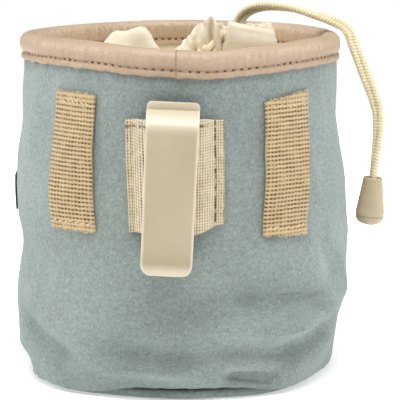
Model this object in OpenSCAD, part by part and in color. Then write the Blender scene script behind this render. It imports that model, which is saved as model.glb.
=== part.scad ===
// Treat pouch: a soft round bag with a bound rim, a gathered closure, a belt clip and two belt loops.
// The origin is the centre of the base, on the surface it stands on. +Z is up and the clip faces -Y.

/* [Pouch body] */
// Height from the surface it stands on to the top of the rim
pouch_h = 117; // [105:1:130]
// Widest outside radius, low on the body
belly_r = 56.7; // [54:0.1:60]
// Height of the widest place
belly_z = 35; // [28:1:45]
// Outside radius of the body at the rim
rim_r = 53.6; // [51:0.1:55]
// Outside radius where the body wall is sewn to the base
foot_r = 50.5; // [48:0.1:52]
// Height of that seam
seam_z = 3.2; // [2.6:0.1:5]
// Thickness of the outer softshell cloth
cloth_t = 1.6; // [1:0.1:2]
// Thickness of the lining
lining_t = 0.8; // [0.5:0.1:1]

/* [Rim] */
// Height of the leather binding
binding_h = 9.8; // [8:0.1:14]
// Thickness of the binding
binding_t = 1; // [0.8:0.1:1.4]
// Height of the stiffening strip inside the binding
stiffener_h = 6.5; // [5:0.1:7]
// Thickness of the stiffening strip
stiffener_t = 0.8; // [0.6:0.1:1]
// Stitches round the binding
binding_stitches = 116; // [80:1:140]

/* [Closure] */
// Distance of the gathered mouth from the middle of the pouch, along +X
mouth_x = 14.5; // [10:0.5:18]
// Middle radius of the gathered hem tunnel
hem_r = 13.5; // [12:0.5:16]
// Radial thickness of the gathered hem tunnel
hem_w = 6; // [5:0.1:7]
// Height of the hem tunnel
hem_h = 8; // [7:0.1:9]
// Height of the top of the hem tunnel
hem_top = 119.5; // [117:0.5:120]
// Thickness of the sleeve cloth with its gathers
sleeve_t = 1.2; // [0.8:0.1:1.6]

/* [Drawstring] */
// Diameter of one strand of the drawstring
strand_d = 2.2; // [2:0.1:2.4]
// Diameter of the two strands together
tail_d = 4.2; // [4:0.1:4.4]
// Length of the cord-end bell
bell_l = 16.6; // [15:0.1:18]
// Diameter of the bell at its top
bell_top_d = 6.6; // [6.4:0.1:7]
// Largest diameter of the bell
bell_d = 9.8; // [9.4:0.1:10.4]

/* [Belt clip] */
// Width of the clip
clip_w = 17.4; // [16:0.1:18]
// Height of the clip's upper edge
clip_top = 100.6; // [99:0.1:101]
// Height of the lowest point of the leg
clip_low = 45.4; // [44:0.1:48]
// Thickness of the back plate
plate_t = 1.8; // [1.6:0.1:2]
// Thickness of the leg at the bend
leg_t = 2.8; // [2.4:0.1:3]
// Outer radius of the bend
bend_r = 7; // [6.8:0.1:7.4]
// Lean of the clip, its foot towards -X, in degrees
clip_lean = 2.6; // [0:0.1:3]

/* [Webbing] */
// Width of the band that carries the clip
band_w = 38; // [36:0.5:39]
// Width of the belt loops
loop_w = 19; // [18:0.5:20]
// Thickness of the webbing
webbing_t = 1.5; // [1.2:0.1:1.6]
// Clear space behind the middle of a belt loop
loop_gap = 3; // [2:0.1:4]
// Length of a belt loop
loop_l = 45; // [40:0.5:46]

/* [Hidden] */
$fn = 96;

front = -90;                                // direction of the pouch's front, from +X
far = 200;                                  // longer than the whole pouch
rim_top = pouch_h - binding_t;              // upper edge of the cloth inside the binding
binding_z = pouch_h - binding_h;            // lower edge of the binding
stiffener_z = rim_top - stiffener_h;        // lower edge of the stiffening strip
lining_in = cloth_t + lining_t;             // depth of the lining's inner face behind the outer face
stiffener_in = lining_in + stiffener_t;     // depth of the stiffening strip's inner face
binding_in = stiffener_in + binding_t;      // depth of the binding's inner face

// The base: flat in the middle, rolling up to the seam.
base_flat_r = foot_r - 5.5;
base_flat_in_r = base_flat_r - 0.5;

// The closure's sleeve, held between the lining and the binding.
sleeve_sides = 64;
sleeve_held_t = 0.55;                       // its thickness where it is held flat
sleeve_clear = 0.06;
sleeve_hang_z = binding_z - 4;              // where the sleeve turns inwards below the binding
sleeve_dip_z = binding_z - 3.6;             // lowest part of the sleeve's way to the mouth
hem_z = hem_top - hem_h;

// The drawstring. The route runs from the hem tunnel, over the rim's right-hand end, to the bell.
ROUTE = [
  [19.5, 12.3, 117.0], [20.0, 12.0, 119.6], [21.5, 11.2, 122.0], [24.2, 10.0, 123.8], [27.8, 8.4, 124.8],
  [32.0, 6.6, 125.0], [36.4, 4.8, 124.6], [40.8, 3.2, 123.8], [45.0, 1.8, 122.6], [49.0, 0.8, 121.4],
  [52.6, 0.2, 120.0], [55.4, 0.0, 118.6], [57.2, 0.0, 116.4], [58.4, 0.0, 113.2], [59.8, 0.0, 109.8],
  [61.3, 0.0, 106.0], [63.0, 0.0, 101.6], [64.8, 0.0, 97.2], [66.4, 0.0, 92.6], [67.3, 0.0, 88.0],
  [67.3, 0.0, 83.0], [66.9, 0.0, 77.0], [66.2, 0.0, 70.6], [65.8, 0.0, 66.6], [65.5, 0.0, 63.4]
];
tail_sides = 10;
bell_at = [65.8, 0, 66.8];                  // middle of the bell's upper end
bell_lean = 4.5;                            // its foot swings towards -X, in degrees
bell_hole_d = tail_d + 0.2;
bell_neck = 2.6;                            // length of the hole at its top
bell_dome = 4.6;                            // height of the rounded foot
cap_t = 1.6;                                // thickness of the cap that closes it
knot_d = 5.4;

// The clip, in planes parallel to YZ.
plate_gap = 0.6;                            // clear space between the pouch and the back plate
plate_back = belly_r + plate_gap;           // distance of the back plate's rear face in front of the middle
plate_front = plate_back + plate_t;
clip_clear = 0.4;                           // clear space between the back plate and the band
band_back = plate_front + clip_clear;
band_front = band_back + webbing_t;
leg_front = plate_back + 11.3;              // distance of the leg's front face in front of the middle
bend_y = leg_front - bend_r;
bend_top = clip_top - 2.4;
bend_z = bend_top - bend_r;
plate_low = clip_low + 5;
split_gap = 0.05;                           // the leg bends away from the back plate here
leg_low_t = 2.2;
lip_z = clip_low + 4.4;                     // the leg's lip flares outwards below this
clip_x = -2.2;                              // middle of the clip at its upper edge
edge_r = 1.4;                               // radius of the clip's upper corners
foot_corner_r = 3.4;                        // radius of its lower corners

// The band, and the angles round the pouch at which its ends lie.
band_z = 56.6;
band_left = -16.8;
band_right = 13;
band_end_w = 4;                             // width of each sewn end
band_clear = 0.2;                           // the cloth bulges a little between the ends' corners
band_flat_left = -13.6;                     // the band's straight middle part runs from here, in X
band_flat_right = 7.6;                      // to here
band_tuck_l = 11;                           // the lower right corner is folded away over this length
band_tuck_h = 5.4;                          // and this height

// The belt loops.
loop_az = 37.8;                             // angle between a loop and the clip
loop_z = 56.4;
loop_angle = loop_w / (belly_r + webbing_t) * 180 / PI;
loop_tab = 6.5;                             // length of each sewn end
loop_ramp = 4;

// The blank label in the left-hand side seam, and the thread.
label_az = -88;
label_angle = 24;
label_z = 55.6;
label_h = 13;
label_t = 0.7;
thread_w = 0.5;
thread_t = 0.25;

// Outline of the body's outside as [height, radius]: two curves that meet at the widest place.
function curve(a, b, c, t) = (1 - t) * (1 - t) * a + 2 * t * (1 - t) * b + t * t * c;
WALL = concat(
  [for (i = [0:6]) curve([seam_z, foot_r], [seam_z + 5, belly_r], [belly_z, belly_r], i / 6)],
  [for (i = [1:8]) curve([belly_z, belly_r], [belly_z + 40, belly_r], [pouch_h, rim_r], i / 8)]
);
function wall_r(z) = lookup(z, WALL);
function heights(a, b) = concat([a], [for (p = WALL) if (p[0] > a + 0.01 && p[0] < b - 0.01) p[0]], [b]);
function reversed(list) = [for (i = [len(list) - 1:-1:0]) list[i]];

// The outline of a layer between two depths behind the outside, from height a to height b.
function layer(a, b, outer, inner) = concat(
  [for (z = heights(a, b)) [wall_r(z) - outer, z]],
  [for (z = reversed(heights(a, b))) [wall_r(z) - inner, z]]
);

// A layer that runs all the way round.
module ring(a, b, outer, inner) {
  rotate_extrude()
    polygon(layer(a, b, outer, inner));
}

// A strip on the outside of the body, between two angles from the front and two distances off the cloth.
module on_wall(az, angle, a, b, low, high) {
  rotate([0, 0, front + az])
    rotate_extrude(angle = angle)
      polygon(layer(a, b, -high, -low));
}

// The rounded fold of the base, up to the seam.
module base_outline(r, z) {
  polygon(concat(
    [[0, z], [r, z]],
    [for (i = [1:6]) curve([r, z], [foot_r - 1 - z, z], [foot_r - z, seam_z], i / 6)],
    [[0, seam_z]]
  ));
}

// A tube along a list of points, level with the direction of the route at each of them.
function unit(v) = v / norm(v);
function way(route, i) = unit(route[min(i + 1, len(route) - 1)] - route[max(i - 1, 0)]);
function side_way(d) = unit(cross(d, [0, 1, 0]));
module tube(route, d, sides) {
  corners = [
    for (i = [0:len(route) - 1])
      let (w = way(route, i), s = side_way(w), u = cross(w, s))
        for (j = [0:sides - 1])
          route[i] + d / 2 * (cos(360 * j / sides) * s + sin(360 * j / sides) * u)
  ];
  last = (len(route) - 1) * sides;
  sheets = [
    for (i = [0:len(route) - 2])
      for (j = [0:sides - 1])
        let (k = (j + 1) % sides)
          [i * sides + j, i * sides + k, (i + 1) * sides + k, (i + 1) * sides + j]
  ];
  polyhedron(corners, concat(
    sheets,
    [[for (j = [sides - 1:-1:0]) j]],
    [[for (j = [0:sides - 1]) last + j]]
  ));
}

module outer_wall() {
  color("#93a8a4") ring(seam_z, rim_top, 0, cloth_t);
}

module outer_base() {
  color("#8aa09c")
    rotate_extrude()
      difference() {
        base_outline(base_flat_r, 0);
        base_outline(base_flat_in_r, cloth_t);
      }
}

module lining_wall() {
  color("#c9c6bd") ring(seam_z, rim_top, cloth_t, lining_in);
}

module lining_base() {
  color("#c2bfb6")
    rotate_extrude()
      difference() {
        base_outline(base_flat_in_r, cloth_t);
        base_outline(base_flat_in_r, lining_in);
      }
}

module rim_stiffener() {
  color("white") ring(stiffener_z, rim_top, lining_in, stiffener_in);
}

// The binding folds over the rim: an outer leg, the fold and an inner leg.
module rim_binding() {
  fold_out = wall_r(rim_top) + binding_t;
  fold_in = wall_r(rim_top) - binding_in;
  color("#d9bfa5") {
    ring(binding_z, rim_top, -binding_t, 0);
    ring(binding_z, rim_top, stiffener_in, binding_in);
    rotate_extrude()
      polygon([
        [fold_out, rim_top],
        [fold_out - binding_t * 0.3, pouch_h - binding_t * 0.3],
        [fold_out - binding_t, pouch_h],
        [fold_in + binding_t, pouch_h],
        [fold_in + binding_t * 0.3, pouch_h - binding_t * 0.3],
        [fold_in, rim_top]
      ]);
  }
}

module binding_stitching() {
  step = 360 / binding_stitches;
  z = binding_z + 2.4;
  color("#b78f6a")
    for (i = [0:binding_stitches - 1])
      on_wall(i * step, step * 0.7, z, z + thread_w, binding_t, binding_t + thread_t);
}

// The sleeve: round the rim, down behind the binding, then inwards and up to the off-centre mouth.
module closure_sleeve() {
  held_out = wall_r(stiffener_z) - lining_in - sleeve_clear;
  low_out = wall_r(binding_z) - lining_in - sleeve_clear;
  hang_out = wall_r(sleeve_hang_z) - lining_in - sleeve_clear - 0.8;
  hem_out = hem_r + hem_w / 2 - 1;
  // Each ring is its radius, its height and its distance along +X.
  rings = [
    [held_out, stiffener_z - sleeve_clear, 0],
    [low_out, binding_z, 0],
    [hang_out, sleeve_hang_z + 1, 0],
    [hang_out - 3, sleeve_dip_z - sleeve_t, 0.5],
    [(hang_out + hem_out) / 2, sleeve_dip_z + 1 - sleeve_t, mouth_x * 0.5],
    [hem_out + 2, hem_z - 3, mouth_x * 0.95],
    [hem_out, hem_z, mouth_x],
    [hem_out - sleeve_t - 1, hem_z, mouth_x],
    [hem_out + 1, hem_z - 2, mouth_x * 0.95],
    [(hang_out + hem_out) / 2, sleeve_dip_z + 1, mouth_x * 0.5],
    [hang_out - 4, sleeve_dip_z, 0.5],
    [low_out - sleeve_held_t, sleeve_hang_z + 2, 0],
    [low_out - sleeve_held_t, binding_z, 0],
    [held_out - sleeve_held_t, stiffener_z - sleeve_clear, 0]
  ];
  count = len(rings);
  corners = [
    for (p = rings)
      for (j = [0:sleeve_sides - 1])
        [p[2] + p[0] * cos(360 * j / sleeve_sides), p[0] * sin(360 * j / sleeve_sides), p[1]]
  ];
  faces = [
    for (i = [0:count - 1])
      for (j = [0:sleeve_sides - 1])
        let (k = (j + 1) % sleeve_sides, n = (i + 1) % count)
          [i * sleeve_sides + j, i * sleeve_sides + k, n * sleeve_sides + k, n * sleeve_sides + j]
  ];
  color("#ece4cf") polyhedron(corners, faces);
}

// The sleeve's folded and gathered hem, with the channel that the drawstring runs in.
module hem_tunnel() {
  corner = hem_w * 0.3;
  color("#efe8d6")
    translate([mouth_x, 0, 0])
      rotate_extrude()
        difference() {
          union() {
            translate([hem_r - hem_w / 2, hem_z]) square([hem_w, hem_h - corner]);
            translate([hem_r - hem_w / 2 + corner, hem_top - corner])
              square([hem_w - 2 * corner, corner]);
            for (side = [-1, 1])
              translate([hem_r + side * (hem_w / 2 - corner), hem_top - corner]) circle(corner);
          }
          translate([hem_r, hem_z + hem_h / 2]) circle(d = strand_d + 0.1);
        }
}

module drawstring_loop() {
  color("#e6d6a4")
    translate([mouth_x, 0, hem_z + hem_h / 2])
      rotate_extrude()
        translate([hem_r, 0]) circle(d = strand_d);
}

module drawstring_tail() {
  color("#e6d6a4") tube(ROUTE, tail_d, tail_sides);
}

// Things on the end of the cord stand in the bell's own frame: its upper end at the origin, pointing down.
module at_bell() {
  translate(bell_at)
    rotate([0, bell_lean, 0])
      children();
}

module bell_outline(shrink) {
  low = -bell_l + bell_dome;
  polygon([
    [0, 0],
    [bell_top_d / 2 - shrink, 0],
    [bell_top_d / 2 + 0.2 - shrink, -0.8],
    [bell_d / 2 - shrink, low + 0.6],
    [bell_d / 2 - shrink, low - 0.6],
    [bell_d * 0.46 - shrink, low - 2],
    [bell_d * 0.36 - shrink, -bell_l + 1.1],
    [bell_d * 0.22, -bell_l + 0.2],
    [0, -bell_l]
  ]);
}

module cord_end_bell() {
  color("#c0ab8c")
    at_bell()
      difference() {
        rotate_extrude() bell_outline(0);
        translate([0, 0, -bell_l]) cylinder(d = bell_hole_d, h = bell_l + 1);
        translate([0, 0, -bell_l - 1]) cylinder(d = knot_d + 0.4, h = bell_l + 1 - bell_neck);
        translate([0, 0, -bell_l - 1]) cylinder(d = bell_d + 2, h = 1 + bell_dome - cap_t);
      }
}

module cord_end_cap() {
  color("#b8a383")
    at_bell()
      intersection() {
        rotate_extrude() bell_outline(0);
        translate([0, 0, -bell_l - 1]) cylinder(d = bell_d + 2, h = 1 + bell_dome - cap_t);
      }
}

module cord_knot() {
  color("#e6d6a4")
    at_bell()
      translate([0, 0, -bell_neck - 0.6 - knot_d / 2])
        sphere(d = knot_d);
}

// A sewn end of the band: a flat strip that leans with the cloth behind it.
module band_end(az) {
  lean = atan((wall_r(band_z) - wall_r(band_z + band_w)) / band_w);
  rotate([0, 0, front + az])
    translate([wall_r(band_z) + band_clear, -band_end_w / 2, band_z])
      rotate([0, -lean, 0])
        cube([webbing_t, band_end_w, band_w]);
}

// The band: two sewn ends, and between them a straight middle that stands off the cloth.
module clip_band() {
  root = wall_r(band_z) + band_clear;
  left_in = band_left + 1.5;
  right_in = band_right - 1.5;
  color("#dcc9a2")
    difference() {
      union() {
        band_end(band_left);
        band_end(band_right);
        translate([0, 0, band_z])
          linear_extrude(band_w)
            polygon([
              [root * sin(left_in), -root * cos(left_in)],
              [root * sin(left_in) - webbing_t * 0.8, -(root + 0.8) * cos(left_in)],
              [band_flat_left - webbing_t * 0.6, -band_front],
              [band_flat_right + webbing_t * 0.6, -band_front],
              [root * sin(right_in) + webbing_t * 0.8, -(root + 0.8) * cos(right_in)],
              [root * sin(right_in), -root * cos(right_in)],
              [band_flat_right, -band_back],
              [band_flat_left, -band_back]
            ]);
      }
      translate([band_flat_right - 3, -far / 2, band_z])
        rotate([0, -atan(band_tuck_h / band_tuck_l), 0])
          translate([0, 0, -far])
            cube([far, far / 2, far]);
    }
}

module band_stitching() {
  rise = 3;
  low = webbing_t + band_clear + 0.1;
  color("#7d5a3a")
    for (az = [band_left - 0.6, band_right + 0.4])
      for (z = [band_z + 6:rise:band_z + band_w - 3])
        on_wall(az, 0.5, z, z + rise * 0.75, low, low + thread_t);
}

// The front outline that both pieces of the clip are cut to.
module clip_outline() {
  length = clip_top - clip_low;
  rotate([90, 0, 0])
    linear_extrude(far)
      union() {
        translate([-clip_w / 2, clip_low + foot_corner_r])
          square([clip_w, length - foot_corner_r - edge_r]);
        translate([-clip_w / 2 + foot_corner_r, clip_low])
          square([clip_w - 2 * foot_corner_r, foot_corner_r]);
        translate([-clip_w / 2 + edge_r, clip_top - edge_r])
          square([clip_w - 2 * edge_r, edge_r]);
        for (side = [-1, 1]) {
          translate([side * (clip_w / 2 - foot_corner_r), clip_low + foot_corner_r])
            circle(foot_corner_r);
          translate([side * (clip_w / 2 - edge_r), clip_top - edge_r])
            circle(edge_r);
        }
      }
}

// A side profile, drawn as distance in front of the middle against height, given the clip's width.
module clip_slab() {
  translate([clip_w / 2, 0, 0])
    rotate([0, 0, -90])
      rotate([90, 0, 0])
        mirror([0, 0, 1])
          translate([0, 0, -clip_w])
            linear_extrude(clip_w)
              children();
}

// Both pieces of the clip stand upright at X = 0 and are then leaned about the upper edge.
module leaned() {
  translate([clip_x, 0, clip_top])
    rotate([0, clip_lean, 0])
      translate([0, 0, -clip_top])
        children();
}

module clip_back_plate() {
  color("#cdbf9f")
    leaned()
      intersection() {
        clip_outline();
        clip_slab()
          union() {
            translate([plate_back, plate_low]) square([plate_t, clip_top - plate_low]);
            translate([plate_back, bend_top - leg_t]) square([bend_y - plate_back, leg_t]);
          }
      }
}

module clip_spring_leg() {
  start = asin(split_gap / bend_r);
  sweep = 90 - start;
  steps = 24;
  inner_r = bend_r - leg_t;
  outer_arc = [for (i = [0:steps]) [bend_y + bend_r * sin(start + sweep * i / steps),
    bend_z + bend_r * cos(start + sweep * i / steps)]];
  inner_arc = [for (i = [steps:-1:0]) [bend_y + inner_r * sin(start + sweep * i / steps),
    bend_z + inner_r * cos(start + sweep * i / steps)]];
  color("#cfc1a0")
    leaned()
      intersection() {
        clip_outline();
        clip_slab()
          polygon(concat(
            outer_arc,
            [
              [leg_front - 1, lip_z],
              [leg_front + 0.9, clip_low],
              [leg_front + 0.9 - leg_low_t * 0.7, clip_low],
              [leg_front - 1 - leg_low_t, lip_z]
            ],
            inner_arc
          ));
      }
}

// A belt loop: sewn flat at both ends, with its middle standing off the cloth.
module belt_loop(az) {
  top = loop_z + loop_l;
  function standoff(z) = lookup(z, [
    [loop_z + loop_tab, 0],
    [loop_z + loop_tab + loop_ramp, loop_gap],
    [top - loop_tab - loop_ramp, loop_gap],
    [top - loop_tab, 0]
  ]);
  bends = [loop_tab, loop_tab + loop_ramp, loop_l - loop_tab - loop_ramp, loop_l - loop_tab, loop_l];
  levels = concat([loop_z], [for (h = bends) loop_z + h]);
  color("#c8a878")
    rotate([0, 0, front + az - loop_angle / 2])
      rotate_extrude(angle = loop_angle)
        difference() {
          polygon(concat(
            [for (z = levels) [wall_r(z) + standoff(z) + webbing_t, z]],
            [for (z = reversed(levels)) [wall_r(z) + standoff(z), z]]
          ));
          polygon(concat([[0, seam_z]], [for (z = heights(seam_z, rim_top)) [wall_r(z), z]], [[0, rim_top]]));
        }
}

module belt_loop_left() {
  belt_loop(-loop_az);
}

module belt_loop_right() {
  belt_loop(loop_az);
}

module loop_stitching() {
  stitches = 6;
  step = (loop_angle - 3) / stitches;
  color("#8f6c43")
    for (az = [-loop_az, loop_az])
      for (z = [loop_z + 2.4, loop_z + loop_l - 3.4])
        for (i = [0:stitches - 1])
          on_wall(
            az - loop_angle / 2 + 1.5 + i * step, step * 0.7,
            z, z + thread_w, webbing_t + 0.05, webbing_t + 0.05 + thread_t
          );
}

module side_label() {
  color("#1d1e20") on_wall(label_az - label_angle, label_angle, label_z, label_z + label_h, 0, label_t);
}

module label_stitching() {
  stitches = 9;
  step = (label_angle - 2) / stitches;
  color("#333539")
    for (z = [label_z + 1, label_z + label_h - 1 - thread_w])
      for (i = [0:stitches - 1])
        on_wall(
          label_az - label_angle + 1 + i * step, step * 0.7, z, z + thread_w, label_t, label_t + thread_t
        );
}

outer_wall();
outer_base();
lining_wall();
lining_base();
rim_stiffener();
rim_binding();
binding_stitching();
closure_sleeve();
hem_tunnel();
drawstring_loop();
drawstring_tail();
cord_end_bell();
cord_end_cap();
cord_knot();
clip_band();
band_stitching();
clip_back_plate();
clip_spring_leg();
belt_loop_left();
belt_loop_right();
loop_stitching();
side_label();
label_stitching();
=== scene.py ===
"""The looks of the treat pouch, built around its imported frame.

Shapes are worked out in millimetres, in the frame's own axes, and become metres when a mesh is made.
An azimuth is in degrees from the pouch's front (-Y), growing towards its right-hand side (+X).
"""

import math

import bmesh
import bpy
import numpy as np
from mathutils import Matrix, Vector


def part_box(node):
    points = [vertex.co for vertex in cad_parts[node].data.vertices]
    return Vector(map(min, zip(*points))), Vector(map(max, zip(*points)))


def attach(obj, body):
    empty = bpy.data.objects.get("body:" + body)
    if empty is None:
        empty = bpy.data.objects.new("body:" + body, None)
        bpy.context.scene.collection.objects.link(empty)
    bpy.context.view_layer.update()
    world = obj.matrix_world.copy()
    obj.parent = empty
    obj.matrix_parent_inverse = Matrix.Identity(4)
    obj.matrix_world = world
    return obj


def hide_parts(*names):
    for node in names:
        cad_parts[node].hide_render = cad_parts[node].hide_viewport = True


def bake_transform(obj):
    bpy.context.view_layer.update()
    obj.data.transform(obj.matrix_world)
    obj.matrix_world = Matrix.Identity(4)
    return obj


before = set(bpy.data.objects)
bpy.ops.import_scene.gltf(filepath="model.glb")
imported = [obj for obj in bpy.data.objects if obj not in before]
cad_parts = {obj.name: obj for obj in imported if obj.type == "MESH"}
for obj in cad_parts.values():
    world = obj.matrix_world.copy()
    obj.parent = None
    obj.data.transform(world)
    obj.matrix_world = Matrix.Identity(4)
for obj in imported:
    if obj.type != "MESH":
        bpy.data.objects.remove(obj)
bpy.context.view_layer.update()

MM = 0.001


def low(node):
    """A CAD node's lowest corner, in millimetres."""
    return np.array(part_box(node)[0]) / MM


def high(node):
    """A CAD node's highest corner, in millimetres."""
    return np.array(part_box(node)[1]) / MM


# ---------------------------------------------------------------- camera

CAMERA_LEVEL = 58.8
CAMERA_SIDE = 6.24
CAMERA_AWAY = 900
CAMERA_RISE = 9.318
CAMERA_LENS = 235.07


def make_camera():
    rise = math.radians(CAMERA_RISE)
    camera = bpy.data.objects.new("camera", bpy.data.cameras.new("camera"))
    camera.data.lens = CAMERA_LENS
    camera.data.sensor_width = 36
    camera.data.clip_start = 0.05
    camera.location = Vector((
        CAMERA_SIDE * MM,
        -CAMERA_AWAY * MM * math.cos(rise),
        (CAMERA_LEVEL + CAMERA_AWAY * math.sin(rise)) * MM,
    ))
    camera.rotation_euler = (math.radians(90) - rise, 0, 0)
    bpy.context.scene.collection.objects.link(camera)
    bpy.context.scene.camera = camera


make_camera()

# ---------------------------------------------------------------- small tools


def smooth(x, start, end):
    """0 before start, 1 after end, and an even ease between them."""
    t = np.clip((x - start) / (end - start), 0, 1)
    return t * t * (3 - 2 * t)


def hump(x, middle, width):
    """A rounded hump, 1 at the middle."""
    return np.exp(-(((x - middle) / width) ** 2))


def through(x, xs, ys):
    """A smooth curve through the points (xs, ys); ys may hold vectors."""
    xs, ys = np.asarray(xs, float), np.asarray(ys, float)
    slopes = np.gradient(ys, xs, axis=0)
    x = np.clip(x, xs[0], xs[-1])
    i = np.clip(np.searchsorted(xs, x) - 1, 0, len(xs) - 2)
    span = xs[i + 1] - xs[i]
    t = (x - xs[i]) / span
    if ys.ndim > 1:
        span, t = span[..., None], t[..., None]
    return (
        (1 + 2 * t) * (1 - t) ** 2 * ys[i]
        + t * (1 - t) ** 2 * span * slopes[i]
        + t * t * (3 - 2 * t) * ys[i + 1]
        + t * t * (t - 1) * span * slopes[i + 1]
    )


def lift(amounts):
    """Steps straight up, one for each amount."""
    return np.asarray(amounts)[:, None] * [0, 0, 1]


def round_the_axis(az, radius, z):
    """Points at an azimuth, a distance from the pouch's axis and a height."""
    a, radius, z = np.broadcast_arrays(np.radians(az), radius, z)
    return np.stack([radius * np.sin(a), -radius * np.cos(a), z], -1)


def turned(az):
    """An azimuth brought between -180 and 180."""
    return (np.asarray(az, float) + 180) % 360 - 180


def around(az, table):
    """A smooth closed curve through a table of (azimuth, value)."""
    table = np.asarray(table, float)
    last, first = table[-1] - [360, 0], table[0] + [360, 0]
    table = np.vstack([last, table, first])
    return through(turned(az), table[:, 0], table[:, 1])


def waves(points, size, seed, count=14):
    """Smooth seeded unevenness from about -1 to 1, over points in space, with features of that size."""
    rng = np.random.default_rng(seed)
    ways = rng.normal(size=(count, 3))
    ways /= np.linalg.norm(ways, axis=1)[:, None]
    ways *= (2 * np.pi / size) * rng.uniform(0.5, 1.2, (count, 1))
    phases = rng.uniform(0, 2 * np.pi, count)
    return np.sin(np.asarray(points) @ ways.T + phases).sum(-1) / math.sqrt(count / 2) * 0.7


def ring_waves(az, pitch, seed, count=9):
    """Seeded unevenness round the pouch that closes on itself; pitch is in degrees."""
    rng = np.random.default_rng(seed)
    turns = np.maximum(np.round(360 / pitch * rng.uniform(0.55, 1.5, count)), 1)
    phases = rng.uniform(0, 2 * np.pi, count)
    waves_at = np.sin(np.radians(np.asarray(az, float))[..., None] * turns + phases)
    return waves_at.sum(-1) / math.sqrt(count / 2) * 0.7


# ---------------------------------------------------------------- making pieces


def grid(rows, columns, wrap_rows=False, wrap_columns=False):
    """Four-sided faces over rows x columns points."""
    i = np.arange(rows if wrap_rows else rows - 1)
    j = np.arange(columns if wrap_columns else columns - 1)
    i, j = np.meshgrid(i, j, indexing="ij")
    k, m = (i + 1) % rows, (j + 1) % columns
    faces = np.stack([i * columns + j, i * columns + m, k * columns + m, k * columns + j], -1)
    return faces.reshape(-1, 4).tolist()


class Shape:
    """Points, faces and point values that are gathered into one mesh."""

    def __init__(self):
        self.points, self.faces, self.values, self.finishes = [], [], {}, []
        self.count = 0

    def add(self, points, faces, finish=0, **values):
        points = np.asarray(points, float).reshape(-1, 3)
        for name in set(values) | set(self.values):
            stored = self.values.setdefault(name, [np.zeros(self.count)] if self.count else [])
            value = values.get(name, 0)
            stored.append(np.broadcast_to(np.asarray(value, float).reshape(-1), len(points)))
        self.points.append(points)
        self.faces += [[v + self.count for v in f] for f in faces]
        self.finishes += [finish] * len(faces)
        self.count += len(points)
        return self

    def rings(self, rows, **values):
        """Adds a closed skin: each row of points is a ring, and the rows make a ring too."""
        rows = np.asarray(rows)
        return self.add(rows, grid(*rows.shape[:2], True, True), **values)

    def piece(self, name, slot, finishes, *nodes, body="pouch"):
        """Makes the mesh, which stands for CAD nodes and rides on a body."""
        mesh = bpy.data.meshes.new(name)
        mesh.from_pydata((np.vstack(self.points) * MM).tolist(), [], self.faces)
        tidy = bmesh.new()
        tidy.from_mesh(mesh)
        bmesh.ops.recalc_face_normals(tidy, faces=tidy.faces)
        tidy.to_mesh(mesh)
        tidy.free()
        for value_name, parts in self.values.items():
            layer = mesh.attributes.new(value_name, "FLOAT", "POINT")
            layer.data.foreach_set("value", np.concatenate(parts).astype(np.float32))
        for finish in finishes:
            mesh.materials.append(finish)
        mesh.polygons.foreach_set("material_index", self.finishes)
        mesh.polygons.foreach_set("use_smooth", [True] * len(mesh.polygons))
        made = bpy.data.objects.new(name, mesh)
        bpy.context.scene.collection.objects.link(made)
        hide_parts(*nodes)
        if body:
            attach(made, body)
        return made


def frames_along(path):
    """Unit tangents of a path and two directions across it that don't twist."""
    tangents = np.gradient(path, axis=0)
    tangents /= np.linalg.norm(tangents, axis=1)[:, None]
    side = np.cross(tangents[0], [0.31, 0.92, 0.24])
    sides = []
    for t in tangents:
        side = side - t * (side @ t)
        side = side / np.linalg.norm(side)
        sides.append(side)
    sides = np.array(sides)
    return tangents, sides, np.cross(tangents, sides)


def tube(path, radius, sides=8, closed=False):
    """A tube along a path; radius is one number, one for each point, or one for each corner."""
    path = np.asarray(path, float)
    _, a, b = frames_along(path)
    angle = np.linspace(0, 2 * np.pi, sides, endpoint=False)
    radius = np.broadcast_to(radius, (len(path), sides)) if np.ndim(radius) != 1 else radius[:, None]
    across = a[:, None] * np.cos(angle)[:, None] + b[:, None] * np.sin(angle)[:, None]
    points = path[:, None] + across * np.broadcast_to(radius, (len(path), sides))[..., None]
    faces = grid(len(path), sides, wrap_rows=closed, wrap_columns=True)
    if not closed:
        faces += [list(range(sides)), [len(points.reshape(-1, 3)) - 1 - i for i in range(sides)]]
    return points.reshape(-1, 3), faces


def stitch(shape, a, b, out, width, rise, finish=0):
    """One sunk-in thread stitch from a to b, arching by rise towards out."""
    a, b, out = (np.asarray(v, float) for v in (a, b, out))
    t = np.linspace(0, 1, 7)[:, None]
    path = a + (b - a) * t + out * (rise * np.sin(np.pi * t) - width * 0.35)
    radius = width / 2 * np.array([0.55, 0.9, 1, 1, 1, 0.9, 0.55])
    shape.add(*tube(path, radius, 6), finish)


def hole(shape, centre, out, radius, finish=1):
    """A small needle hole, drawn into the cloth round a stitch's end, dark with painted shade."""
    centre, out = np.asarray(centre, float), np.asarray(out, float)
    side = np.cross(out, [0.1, 0.2, 1])
    side /= np.linalg.norm(side)
    up = np.cross(out, side)
    angle = np.linspace(0, 2 * np.pi, 8, endpoint=False)[:, None]
    edge = centre + radius * (np.cos(angle) * side + np.sin(angle) * up)
    points = np.vstack([edge - out * 0.3, edge, centre + out * 0.12, centre - out * 0.3])
    faces = [[i, (i + 1) % 8, 8 + (i + 1) % 8, 8 + i] for i in range(8)]
    faces += [[8 + i, 8 + (i + 1) % 8, 16] for i in range(8)]
    faces += [[(i + 1) % 8, i, 17] for i in range(8)]
    shape.add(points, faces, finish)


# ---------------------------------------------------------------- finishes


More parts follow.
